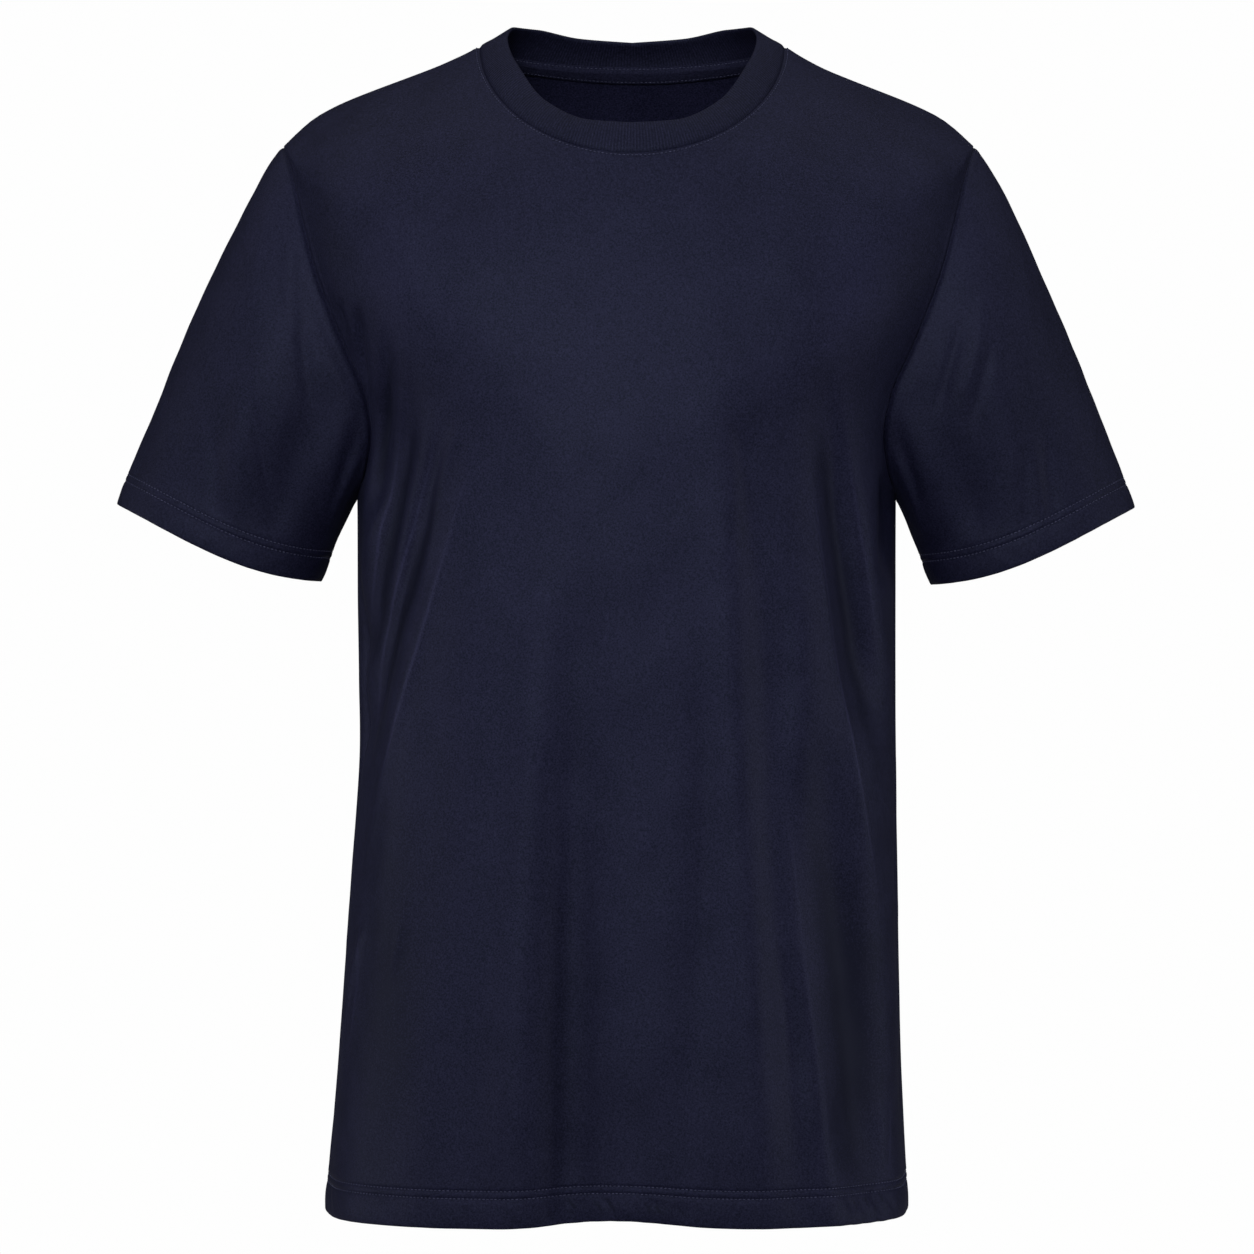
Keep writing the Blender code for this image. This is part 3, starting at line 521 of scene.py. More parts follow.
def panel_form(face, folds, edges, creases, seed):
    """Outer points, normals and distances of a folded and sewn panel."""
    points = ease_rows(body_surface(levels, panel_spread(levels, face), face), levels)
    outward = 1.0 if face == "front" else -1.0
    across, along = arcs(points, 1), arcs(points, 0)
    from_side = np.minimum(across, across[:, -1:] - across)
    middle = points.shape[1] // 2
    across = across - 0.5 * (across[:, middle:middle + 1] + across[:, middle - 1:middle])
    from_neck = along[-1:] - along
    x, z = points[..., 0], points[..., 2]
    seam_fade = 1.0 - bump(from_side, FLAT_BY_SEAM)
    neck_fade = 1.0 - bump(from_neck, FLAT_BY_NECK)
    lift = fold_lift(x, z, folds, **MAIN_FOLD) * soft_step(from_side / MAIN_FOLD_FADE)
    lift += edge_ridges(x, z, edges) * seam_fade
    lift += fold_lift(across, z, creases, **CREASE) * seam_fade
    lift += slow_waves(across, z, seed, BODY_WAVES) * seam_fade * neck_fade
    lift += hem_relief(along, HEM_STITCHES, HEM_DEPTH)
    puckered = sum(spot.share * bump(x - spot.middle_x, spot.spread)
                   for spot in HEM_PUCKERS[face])
    lift += hem_pucker(across, along, HEM_STITCHES[0], seed + 1,
                       PUCKER_SHARE + puckered) * seam_fade
    lift += seam_relief(from_side) + seam_relief(from_neck)
    normals = outward * grid_normals(points)
    for column, side in ((0, "left"), (-1, "right")):
        normals[:, column] = side_normals(points[:, column])
        normals[at_armhole(levels), column] = shared_normals[side][face]
    points = points + normals * lift[..., None]
    if face == "front":
        share = np.clip(1.0 - levels / HEM_LIFT_LEVEL, 0.0, 1.0)[:, None] ** 2
        points[..., 2] += HEM_LIFT * share * bump(points[..., 0] - HEM_LIFT_X, HEM_LIFT_SPREAD)
    return Form(points, outward * grid_normals(points), across, along, from_neck)


def armhole_loop(side_sign):
    """Armhole seam from the armpit up the front and down the back, as a closed loop."""
    rows = levels[at_armhole(levels)]
    edge = np.array([[side_sign]])
    front, back = (body_surface(rows, edge, face)[:, 0] for face in ("front", "back"))
    angles = 180.0 * (rows - 1.0)
    loop = np.concatenate([front, back[-2:0:-1]])
    return loop, np.concatenate([angles, -angles[-2:0:-1]])


# The way a sleeve leaves its armhole, by the angle from the armpit to the shoulder tip, and
# the shares of its length over which it turns from the armhole's way and to the cuff's.
SleeveStart = namedtuple("SleeveStart", "angle outward forward up reach settle")
SLEEVE_STARTS = table(
    SleeveStart,
    (0, 0.3, 0, -0.95, 0.3, 0.3), (45, 0.72, 0.3, -0.62, 0.34, 0.32),
    (90, 0.86, 0.22, -0.46, 0.3, 0.28), (135, 0.78, 0.16, -0.6, 0.22, 0.2),
    (180, 0.8, 0, -0.6, 0.11, 0.1))


def sleeve_starts(angles, side_sign):
    """The way the sleeve leaves the armhole seam at each angle of the loop."""
    outward, forward, up = read_columns(
        SLEEVE_STARTS, "angle", "outward forward up", np.abs(angles))
    return unit(np.stack([outward * side_sign, forward * -np.sign(angles), up], axis=-1))


def armhole_normals(side_sign):
    """Normals halfway between body and sleeve, for the sleeve and for each panel's edge."""
    loop, angles = armhole_loop(side_sign)
    column = 0 if side_sign < 0.0 else -1
    rows = at_armhole(levels)
    count = int(np.count_nonzero(rows))
    front, back = (grid_normals(body_surface(levels, panel_spread(levels, face), face))
                   for face in ("front", "back"))
    front, back = front[rows, column], -back[rows, column]
    body = np.concatenate([front, back[-2:0:-1]])
    seam = unit(np.roll(loop, -1, axis=0) - np.roll(loop, 1, axis=0))
    sleeve = unit(np.cross(seam, sleeve_starts(angles, side_sign))) * -side_sign
    both = unit(body + sleeve)
    sewn = unit(both - seam * np.sum(both * seam, axis=1, keepdims=True))
    sewn[[0, count - 1], 1] = 0.0
    sewn = unit(sewn)
    back_rows = np.concatenate([sewn[:1], sewn[:count - 2:-1]])
    return {"front": sewn[:count], "back": back_rows, "loop": sewn}


def cloth_mesh(name, outer, inner, across, along, turn_rows, wraps=False):
    """One closed thin wall of cloth. Its first row's edge is a round fold of the cloth."""
    middle = 0.5 * (outer[0] + inner[0])
    out = outer[0] - middle
    down = unit(outer[0] - outer[1]) * np.linalg.norm(out, axis=-1, keepdims=True)
    turns = np.radians(np.linspace(180.0, 0.0, turn_rows + 2)[1:-1])
    fold = [middle + np.cos(turn) * out + np.sin(turn) * down for turn in turns]
    grid = np.concatenate([inner[::-1], np.array(fold), outer])
    u_rows, v_rows = (np.concatenate([side[::-1], np.repeat(side[:1], turn_rows, axis=0), side])
                      for side in (across, along))
    rows, columns = grid.shape[:2]
    index = np.arange(rows * columns).reshape(rows, columns)
    ahead = np.roll(index, -1, axis=1) if wraps else index[:, 1:]
    here = index if wraps else index[:, :-1]
    body = np.stack([here[:-1], ahead[:-1], ahead[1:], here[1:]], axis=-1).reshape(-1, 4)
    faces = [body, np.stack([here[-1], ahead[-1], ahead[0], here[0]], axis=-1)]
    if not wraps:
        half = len(outer)
        for column, turned in ((0, False), (-1, True)):
            outside, inside = index[rows - half:, column], index[:half, column][::-1]
            side = np.stack([outside[:-1], outside[1:], inside[1:], inside[:-1]], axis=-1)
            faces.append(side[:, ::-1] if turned else side)
            ring = np.concatenate([outside[:1], inside[:1], index[half:rows - half, column]])
            faces.append(np.array([ring[::-1] if turned else ring], dtype=object))
    faces = [[int(corner) for corner in face] for group in faces for face in group]
    mesh = bpy.data.meshes.new(name)
    mesh.from_pydata(grid.reshape(-1, 3).tolist(), [], faces)
    corner = np.empty(len(mesh.loops), dtype=np.int64)
    mesh.loops.foreach_get("vertex_index", corner)
    u, v = u_rows.reshape(-1)[corner], v_rows.reshape(-1)[corner]
    if wraps:
        round_trip = np.ptp(u_rows) * columns / (columns - 1)
        quads = u.reshape(-1, 4)
        split = np.ptp(quads, axis=1, keepdims=True) > 0.5 * round_trip
        u = np.where(split & (quads < 0.0), quads + round_trip, quads).reshape(-1)
    add_cloth_places(mesh, u, v)
    return mesh


def add_cloth_places(mesh, u, v):
    """The map that knits and fold edges follow: places on the cloth for a mesh's corners."""
    layer = mesh.uv_layers.new(name="cloth")
    layer.data.foreach_set("uv", np.stack([u, v], axis=-1).astype(np.float32).ravel())


def volume_sign(mesh):
    """More than nothing where a closed mesh's faces point outwards."""
    mesh.calc_loop_triangles()
    corners = np.empty(len(mesh.loop_triangles) * 3, dtype=np.int64)
    mesh.loop_triangles.foreach_get("vertices", corners)
    points = np.empty(len(mesh.vertices) * 3)
    mesh.vertices.foreach_get("co", points)
    a, b, c = points.reshape(-1, 3)[corners.reshape(-1, 3)].transpose(1, 0, 2)
    return float(np.sum(np.cross(a, b) * c))


SHARP_ANGLE = 62.0


def link_piece(name, mesh, material):
    """Shade a mesh smooth, give it its material, and let it ride on the shirt's body."""
    if volume_sign(mesh) < 0.0:
        mesh.flip_normals()
    mesh.shade_smooth()
    mesh.set_sharp_from_angle(angle=np.radians(SHARP_ANGLE))
    mesh.materials.append(material)
    mesh.update()
    piece = bpy.data.objects.new(name, mesh)
    bpy.context.scene.collection.objects.link(piece)
    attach(piece, "root")
    return piece


def shader_group(name, inputs, outputs):
    """An empty shader node group of numbers. An input with no value of its own is a vector."""
    group = bpy.data.node_groups.new(name, "ShaderNodeTree")
    for title, value in inputs.items():
        kind = "NodeSocketVector" if value is None else "NodeSocketFloat"
        socket = group.interface.new_socket(title, in_out="INPUT", socket_type=kind)
        if value is not None:
            socket.default_value = value
    for title in outputs:
        group.interface.new_socket(title, in_out="OUTPUT", socket_type="NodeSocketFloat")
    return group, group.nodes.new("NodeGroupInput"), group.nodes.new("NodeGroupOutput")


def maths_in(tree):
    """A short way to add math nodes to a tree, fed by sockets or by plain numbers."""
    def add(operation, *values):
        node = tree.nodes.new("ShaderNodeMath")
        node.operation = operation
        for socket, value in zip(node.inputs, values):
            if isinstance(value, (int, float)):
                socket.default_value = value
            else:
                tree.links.new(value, socket)
        return node.outputs[0]
    return add


def split_vector(tree, vector):
    """The parts of a vector, by their letters."""
    node = tree.nodes.new("ShaderNodeSeparateXYZ")
    tree.links.new(vector, node.inputs[0])
    return node.outputs


def place_group(tree, group, vector, values=()):
    """A shader group in a tree, fed by a vector and by named numbers. Gives its outputs."""
    node = tree.nodes.new("ShaderNodeGroup")
    node.node_tree = group
    tree.links.new(vector, node.inputs[0])
    for title, value in dict(values).items():
        node.inputs[title].default_value = value
    return node.outputs


KNIT_SIZES = {"Wale width": 0.0008, "Course height": 0.0006}
V_SLOPE = 1.8
V_RELIEF = 0.5
STRAND_RELIEF = 0.25


def jersey_knit():
    """Height of jersey's face: columns of small V stitches, on cloth places in metres."""
    group, start, end = shader_group("Jersey knit", {"Cloth": None, **KNIT_SIZES}, ["Height"])
    maths = maths_in(group)
    split = split_vector(group, start.outputs["Cloth"])
    wale = maths("DIVIDE", split["X"], start.outputs["Wale width"])
    course = maths("DIVIDE", split["Y"], start.outputs["Course height"])
    leg = maths("ABSOLUTE", maths("SUBTRACT", maths("FRACT", wale), 0.5))
    slant = maths("SUBTRACT", course, maths("MULTIPLY", leg, V_SLOPE))
    strand = maths("COSINE", maths("MULTIPLY", slant, 2.0 * np.pi))
    across = maths("SINE", maths("MULTIPLY", leg, 2.0 * np.pi))
    loop = maths("MULTIPLY_ADD", strand, STRAND_RELIEF, STRAND_RELIEF)
    height = maths("MULTIPLY_ADD", maths("ABSOLUTE", across), V_RELIEF, loop)
    group.links.new(height, end.inputs["Height"])
    return group


TONE_SCALES = {"Patch scale": 38.0, "Grain scale": 950.0}
NOISE_DETAIL = 3.0
PATCH_ROUGHNESS = 0.55
GRAIN_ROUGHNESS = 0.80


def cloth_tone():
    """Patchy and fine unevenness of dyed cloth, each from 0 to 1."""
    group, start, end = shader_group(
        "Cloth tone", {"Place": None, **TONE_SCALES}, ["Patches", "Grain"])
    for title, scale, fineness in (("Patches", "Patch scale", PATCH_ROUGHNESS),
                                   ("Grain", "Grain scale", GRAIN_ROUGHNESS)):
        node = group.nodes.new("ShaderNodeTexNoise")
        node.inputs["Detail"].default_value = NOISE_DETAIL
        node.inputs["Roughness"].default_value = fineness
        group.links.new(start.outputs["Place"], node.inputs["Vector"])
        group.links.new(start.outputs[scale], node.inputs["Scale"])
        group.links.new(node.outputs["Fac"], end.inputs[title])
    return group


def fold_line():
    """Mask of a line on cloth places for painted highlights and painted shade: a curve u(v), its
    width and its reach.
    """
    curve = dict.fromkeys(("Middle u", "Middle v", "Lean", "Bend", "Twist"), 0.0)
    group, start, end = shader_group(
        "Fold line", {"Cloth": None, **curve, "Width": 1.0, "Reach": 1.0}, ["Line"])
    maths, given = maths_in(group), start.outputs
    split = split_vector(group, given["Cloth"])
    up = maths("SUBTRACT", split["Y"], given["Middle v"])
    line = given["Twist"]
    for title in ("Bend", "Lean", "Middle u"):
        line = maths("MULTIPLY_ADD", up, line, given[title])
    off = maths("DIVIDE", maths("SUBTRACT", split["X"], line), given["Width"])
    bell = maths("EXPONENT", maths("MULTIPLY", maths("MULTIPLY", off, off), -1.0))
    way = maths("DIVIDE", up, given["Reach"])
    inside = maths("MAXIMUM", maths("SUBTRACT", 1.0, maths("MULTIPLY", way, way)), 0.0)
    mask = maths("MULTIPLY", bell, maths("MULTIPLY", inside, inside))
    group.links.new(mask, end.inputs["Line"])
    return group


KNIT, TONE, PAINTED_FOLD_LINE = jersey_knit(), cloth_tone(), fold_line()
PATCH_SHARE = 1.1
GRAIN_SHARE = 8.0
# How strongly the painted highlights and painted shade along lines change the colour.
PAINTED_LINE_SHARE = 1.75
DARKEST_SHARE = -0.55
CLOTH_ROUGHNESS_RANGE = 0.10
CLOTH_FINISH = {
    "Specular IOR Level": 0.20, "Specular Tint": (0.55, 0.62, 1.0, 1.0),
    "Sheen Weight": 0.012, "Sheen Roughness": 0.45, "Sheen Tint": (0.45, 0.50, 0.90, 1.0)}


def cloth_uv(tree):
    """Places on the cloth of the piece that a material is on."""
    cloth = tree.nodes.new("ShaderNodeUVMap")
    cloth.uv_map = "cloth"
    return cloth.outputs["UV"]


def cloth_material(name, dark, light, roughness, edges=()):
    """A cloth's shader with its uneven tone, its grain, and painted highlights and painted shade
    along the lines it is given.
    """
    material = bpy.data.materials.new(name)
    material.use_nodes = True
    tree = material.node_tree
    shader = tree.nodes["Principled BSDF"]
    maths = maths_in(tree)
    place = tree.nodes.new("ShaderNodeTexCoord").outputs["Object"]
    tone = place_group(tree, TONE, place)
    patches = maths("MULTIPLY_ADD", tone["Patches"], PATCH_SHARE, -0.5 * PATCH_SHARE)
    grain = maths("MULTIPLY_ADD", tone["Grain"], GRAIN_SHARE, -0.5 * GRAIN_SHARE)
    share = maths("ADD", patches, maths("ADD", grain, 0.5))
    # Painted highlights and painted shade along the given lines.
    if edges:
        cloth, painted_light_and_shade = cloth_uv(tree), 0.0
        for strength, values in edges:
            line = place_group(tree, PAINTED_FOLD_LINE, cloth, values)
            painted_light_and_shade = maths("MULTIPLY_ADD", line["Line"], strength, painted_light_and_shade)
        share = maths("MULTIPLY_ADD", painted_light_and_shade, PAINTED_LINE_SHARE, share)
    colour = tree.nodes.new("ShaderNodeMix")
    colour.data_type = "RGBA"
    colour.clamp_factor = False
    colour.inputs["A"].default_value = (*dark, 1.0)
    colour.inputs["B"].default_value = (*light, 1.0)
    tree.links.new(maths("MAXIMUM", share, DARKEST_SHARE), colour.inputs["Factor"])
    tree.links.new(colour.outputs["Result"], shader.inputs["Base Color"])
    rough = maths("MULTIPLY_ADD", tone["Patches"], CLOTH_ROUGHNESS_RANGE,
                  roughness - 0.5 * CLOTH_ROUGHNESS_RANGE)
    tree.links.new(rough, shader.inputs["Roughness"])
    for title, value in CLOTH_FINISH.items():
        shader.inputs[title].default_value = value
    return material, tree, shader, tone


def add_bump(tree, shader, height, strength, distance):
    """Feed a height to the shader's normal."""
    node = tree.nodes.new("ShaderNodeBump")
    node.inputs["Strength"].default_value = strength
    node.inputs["Distance"].default_value = distance
    tree.links.new(height, node.inputs["Height"])
    tree.links.new(node.outputs["Normal"], shader.inputs["Normal"])


NAVY_DARK = (0.0062, 0.0065, 0.0189)
NAVY_LIGHT = (0.0125, 0.0128, 0.0340)
# Painted light: the panels' inner face is this much paler than the same jersey outside.
REVERSE_PAINTED_LIGHT = 1.5
JERSEY_ROUGHNESS = 0.52
KNIT_BUMP = (0.35, 0.00012)
GRAIN_IN_KNIT = 0.8


def navy(lightness):
    """The cloth's dark and light navy, made lighter or darker."""
    return [tuple(lightness * part for part in shade) for shade in (NAVY_DARK, NAVY_LIGHT)]


def jersey_material(name, lightness=1.0, edges=()):
    """Smooth navy jersey with its knit, its slight satin, and the painted highlights and painted
    shade along its folds.
    """
    material, tree, shader, tone = cloth_material(name, *navy(lightness), JERSEY_ROUGHNESS, edges)
    knit = place_group(tree, KNIT, cloth_uv(tree))
    height = maths_in(tree)("MULTIPLY_ADD", tone["Grain"], GRAIN_IN_KNIT, knit["Height"])
    add_bump(tree, shader, height, *KNIT_BUMP)
    return material


def edge_values(curve, middle_v, width, reach):
    """Values of the fold line group for a curve: twist, bend, lean and middle."""
    twist, bend, lean, middle_u = curve
    return {"Middle u": middle_u, "Middle v": middle_v, "Lean": lean, "Bend": bend,
            "Twist": twist, "Width": width, "Reach": reach}


NEAREST_PLACES = 6
LEAST_GAP = 1e-7


def painted_cloth_lines(form, edges):
    """Lines of painted highlight and painted shade along the folds, as curves on the cloth through
    the places given for each. A long one bends twice, and a short one once.
    """
    fitted = []
    for edge in edges:
        spots = []
        for x, z in edge.places:
            gap = ((form.outer[..., 0] - x) ** 2 + (form.outer[..., 2] - z) ** 2).ravel()
            nearest = np.argsort(gap)[:NEAREST_PLACES]
            weight = 1.0 / (gap[nearest] + LEAST_GAP)
            weight /= weight.sum()
            spots.append([side.ravel()[nearest] @ weight for side in (form.across, form.along)])
        u, v = np.array(spots).T
        middle = 0.5 * (v[0] + v[-1])
        degree = 3 if len(u) > 4 else 2
        curve = [0.0] * (3 - degree) + [float(part) for part in np.polyfit(v - middle, u, degree)]
        values = edge_values(curve, float(middle), edge.width, float(0.5 * abs(v[0] - v[-1])))
        fitted.append((edge.strength, values))
    return fitted


FOLD_ROWS = 5


def add_jersey(name, form, hem_depth, material, wraps=False):
    """A piece of jersey as a thin wall, doubled where its lower edge is turned up."""
    doubled = 1.0 / (1.0 + np.exp((form.along - hem_depth) / HEM_SOFTNESS))
    wall = WALL + (HEM_WALL - WALL) * doubled
    inner = form.outer - form.normals * wall[..., None]
    mesh = cloth_mesh(name, form.outer, inner, form.across, form.along, FOLD_ROWS, wraps)
    return link_piece(name, mesh, material)


def add_panel(face, form, edges):
    """The front or back panel, with painted light on its reverse: the inner face is a paler copy
    of the jersey.
    """
    material = jersey_material("navy_jersey_" + face, edges=painted_cloth_lines(form, edges))
    panel = add_jersey(face + "_jersey", form, HEM_DEPTH, material)
    panel.data.materials.append(JERSEY_REVERSE_PAINTED_LIGHT)
    rows, columns = form.across.shape
    on_reverse = np.arange(len(panel.data.polygons)) < (rows - 1) * (columns - 1)
    panel.data.polygons.foreach_set("material_index", on_reverse.astype(np.int32))
    return panel


# Painted light on the panels' inner face.
JERSEY_REVERSE_PAINTED_LIGHT = jersey_material("navy_jersey_reverse_painted_light", REVERSE_PAINTED_LIGHT)
levels = panel_levels()
shared_normals = {side: armhole_normals(side_sign) for side, side_sign in SIDES.items()}
front_form = panel_form("front", FRONT_FOLDS, FRONT_EDGES, FRONT_CREASES, seed=11)
front = add_panel("front", front_form, FRONT_EDGES)
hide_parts("front_panel")


# ---- Back panel ----
# One piece of the same jersey, a little longer at the neck than the front. It hangs straight
# from the shoulder blades, with folds like the front's and a fan below each armhole.

BACK_FOLDS = table(
    Fold,
    (-0.125, -0.195, -0.143, -0.28, -0.159, -0.39, 0.0066, -0.011, 1.2, 0.45),
    (-0.106, -0.235, -0.128, -0.345, -0.159, -0.5, 0.0074, -0.0105, 1.3, 0.45),
    (-0.048, -0.28, -0.056, -0.52, -0.068, -0.85, 0.012, -0.01, 1.5, 0.35),
    (-0.02, -0.33, -0.024, -0.5, -0.03, -0.82, 0.014, 0.004, 1.2, 0),
    (0.034, -0.37, 0.03, -0.58, 0.024, -0.86, 0.012, -0.0085, 1.4, -0.3),
    (0.07, -0.27, 0.082, -0.42, 0.096, -0.8, 0.014, 0.004, 1.2, 0),
    (0.102, -0.225, 0.126, -0.325, 0.154, -0.46, 0.0078, -0.0115, 1.4, -0.4),
    (0.126, -0.19, 0.145, -0.27, 0.16, -0.37, 0.0064, -0.01, 1.2, -0.4),
    (0.112, -0.43, 0.13, -0.58, 0.138, -0.74, 0.013, -0.0105, 1.4, -0.2))
BACK_CREASES = table(
    Fold,
    (-0.186, -0.16, -0.184, -0.182, -0.188, -0.205, 0.0045, -0.0031, 1.2, 0),
    (-0.084, -0.262, -0.098, -0.372, -0.16, -0.56, 0.004, 0.0021, 1.3, 0.2),
    (-0.206, -0.32, -0.211, -0.43, -0.204, -0.575, 0.006, -0.0033, 1.4, 0.2),
    (-0.034, -0.33, -0.044, -0.48, -0.05, -0.69, 0.008, -0.0029, 1.3, -0.2),
    (0.004, -0.42, 0.001, -0.54, -0.004, -0.7, 0.007, 0.0016, 1.3, 0.2),
    (0.052, -0.3, 0.056, -0.43, 0.052, -0.64, 0.0075, -0.0024, 1.4, 0),
    (0.168, -0.178, 0.174, -0.214, 0.184, -0.256, 0.0046, -0.004, 1.2, 0),
    (0.19, -0.16, 0.19, -0.178, 0.193, -0.196, 0.004, -0.0022, 1, 0),
    (0.11, -0.54, 0.118, -0.6, 0.122, -0.68, 0.006, -0.0022, 1.3, 0),
    (0.206, -0.33, 0.212, -0.45, 0.206, -0.59, 0.006, -0.0031, 1.4, -0.2))
# Lines along the back's folds, as on the front: a painted highlight along a fold's edge where the
# strength is positive, with a ridge where the line is thin, and painted shade in a trough where it
# is negative.
BACK_EDGES = table(
    FoldEdge,
    (0.001, 0.55, ((-0.126, -0.225), (-0.144, -0.295), (-0.156, -0.36), (-0.161, -0.41))),
    (0.0011, 0.75, ((-0.09, -0.23), (-0.108, -0.295), (-0.122, -0.35), (-0.14, -0.43),
        (-0.157, -0.51))),
    (0.0011, 0.75, ((0.104, -0.21), (0.124, -0.285), (0.137, -0.345), (0.15, -0.41),
        (0.159, -0.47))),
    (0.0011, 0.9, ((0.13, -0.215), (0.145, -0.28), (0.155, -0.35))),
    (0.0014, 0.3, ((0.098, -0.45), (0.108, -0.52), (0.116, -0.59), (0.126, -0.67))),
    (0.006, -0.85, ((-0.123, -0.205), (-0.135, -0.255), (-0.144, -0.3), (-0.151, -0.345),
        (-0.157, -0.395))),
    (0.0066, -0.85, ((-0.104, -0.245), (-0.119, -0.305), (-0.131, -0.36), (-0.142, -0.415),
        (-0.153, -0.47))),
    (0.0075, -0.85, ((0.103, -0.225), (0.119, -0.29), (0.132, -0.35), (0.142, -0.4),
        (0.15, -0.45))),
    (0.01, -0.28, ((-0.049, -0.4), (-0.055, -0.49), (-0.059, -0.58), (-0.062, -0.66),
        (-0.065, -0.8))))

back_form = panel_form("back", BACK_FOLDS, BACK_EDGES, BACK_CREASES, seed=23)
back = add_panel("back", back_form, BACK_EDGES)
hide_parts("back_panel")


# ---- Sleeves ----
# Two short set-in sleeves of the same jersey, each a tube sewn round its armhole and closed by a
# seam under the arm. The cuff is turned up and stitched like the hem. Their jersey is painted
# darker than the body's as painted shade, with painted light in a paler band down the front and
# the back of each.

CUFF_CENTRES = {"left": (-0.2496, 0.0, -0.3020), "right": (0.2464, 0.0, -0.3040)}
CUFF_TILT = np.radians(20.8)
CUFF_LONG = 0.0665
CUFF_DEEP = 0.0430
CUFF_SAG = 0.0068
CUFF_SAG_SKEW = 0.65
CUFF_DEPTH = 0.0190
CUFF_BAND = 0.0224
BAND_GAP = 0.0010
CUFF_STITCHES = (0.0143, 0.0186)
CUFF_PUCKER_SHARE = 0.10
CUFF_ROWS = 13
SLEEVE_ROWS = 78
ROWS_BY_ARMHOLE = (0.0, 0.004, 0.009, 0.016, 0.025)
SLEEVE_ROWS_FROM = 0.036
BAND_SHARE = 0.05
FLAT_BY_ARMHOLE = 0.006
FLAT_BY_CUFF = (0.7, 0.014)
METRES_PER_DEGREE = 0.0012
SLEEVE_RADIUS = 0.065
SLEEVE_SEEDS = {"left": (30, 46), "right": (32, 48)}
SLEEVE_WAVES = table(Wave, (0.07, 1.3, 6, 0.00036), (0.03, 1.5, 8, 0.00012))

# Folds of a sleeve, by the angle round it and the place along it from seam to cuff.
SleeveFold = namedtuple("SleeveFold", "angle_top along_top angle_low along_low half_width height")
SLEEVE_FOLDS = table(
    SleeveFold,
    (70, 0.1, 62, 1, 10, -0.003), (98, 0.2, 88, 1.05, 11, 0.0025), (-64, 0.1, -58, 1, 10, -0.003),
    (-95, 0.15, -86, 1.05, 12, 0.0025))
SleeveCrease = namedtuple("SleeveCrease", (
    "angle_top along_top angle_mid along_mid angle_low along_low half_width height"))
SLEEVE_CREASE_FLARE = 1.2
SLEEVE_CREASES = {
    "left": table(
        SleeveCrease,
        (128, 0.03, 108, 0.1, 84, 0.24, 0.006, 0.0012),
        (100, 0.06, 84, 0.18, 66, 0.3, 0.0048, -0.0013),
        (100, 0.4, 83, 0.56, 66, 0.74, 0.004, -0.0011),
        (84, 0.22, 80, 0.42, 76, 0.62, 0.0085, 0.0009),
        (104, 0.44, 96, 0.6, 89, 0.76, 0.007, 0.001),
        (112, 0.6, 98, 0.78, 88, 0.98, 0.0075, -0.0016),
        (58, 0.02, 47, 0.18, 30, 0.48, 0.0065, -0.002),
        (46, 0.02, 36, 0.24, 24, 0.6, 0.0045, 0.001),
        (-112, 0.05, -96, 0.24, -78, 0.52, 0.0065, -0.0016),
        (-90, 0.08, -76, 0.26, -60, 0.52, 0.0055, 0.0013),
        (-104, 0.5, -94, 0.74, -86, 0.98, 0.0075, -0.0014),
        (-66, 0.03, -50, 0.2, -34, 0.52, 0.006, -0.0018),
        (-48, 0.04, -38, 0.26, -26, 0.62, 0.0045, 0.001),
        (165, 0.1, 158, 0.34, 150, 0.62, 0.011, -0.0007),
        (-158, 0.14, -150, 0.42, -140, 0.8, 0.011, -0.0008)),
    "right": table(
        SleeveCrease,
        (114, 0.14, 90, 0.25, 64, 0.3, 0.006, 0.0008),
        (98, 0.12, 82, 0.18, 66, 0.25, 0.0042, -0.0014),
        (106, 0.25, 90, 0.33, 74, 0.42, 0.0045, -0.0012),
        (72, 0.16, 71, 0.38, 73, 0.62, 0.0085, 0.0008),
        (98, 0.58, 93, 0.76, 88, 0.94, 0.005, -0.0011),
        (105, 0.58, 100, 0.77, 94, 0.98, 0.0045, 0.0009),
        (114, 0.62, 106, 0.82, 99, 1, 0.006, -0.0011),
        (56, 0.02, 45, 0.2, 30, 0.52, 0.0065, -0.002),
        (44, 0.03, 34, 0.26, 22, 0.6, 0.0045, 0.001),
        (-110, 0.06, -92, 0.22, -72, 0.42, 0.006, -0.0016),
        (-94, 0.1, -78, 0.3, -64, 0.58, 0.005, 0.0012),
        (-110, 0.54, -100, 0.76, -92, 0.98, 0.007, -0.0013),
        (-62, 0.03, -48, 0.22, -30, 0.54, 0.0062, -0.0019),
        (-46, 0.04, -36, 0.28, -24, 0.6, 0.0045, 0.0009),
        (160, 0.12, 152, 0.4, 146, 0.72, 0.011, -0.0008),
        (-164, 0.1, -156, 0.36, -150, 0.66, 0.011, -0.0007)),
}


def cuff_loop(angles, side):
    """Cuff edge, and the way the sleeve runs as it reaches the cuff."""
    radians = np.radians(angles)[:, None]
    run = np.array([SIDES[side] * np.sin(CUFF_TILT), 0.0, -np.cos(CUFF_TILT)])
    rise = np.array([SIDES[side] * np.cos(CUFF_TILT), 0.0, np.sin(CUFF_TILT)])
    sag = CUFF_SAG * np.sin(radians) ** 2 * (1.0 + CUFF_SAG_SKEW * np.cos(radians))
    loop = np.array(CUFF_CENTRES[side]) - CUFF_LONG * np.cos(radians) * rise
    return loop + CUFF_DEEP * np.sin(radians) * np.array([0.0, -1.0, 0.0]) + sag * run, run


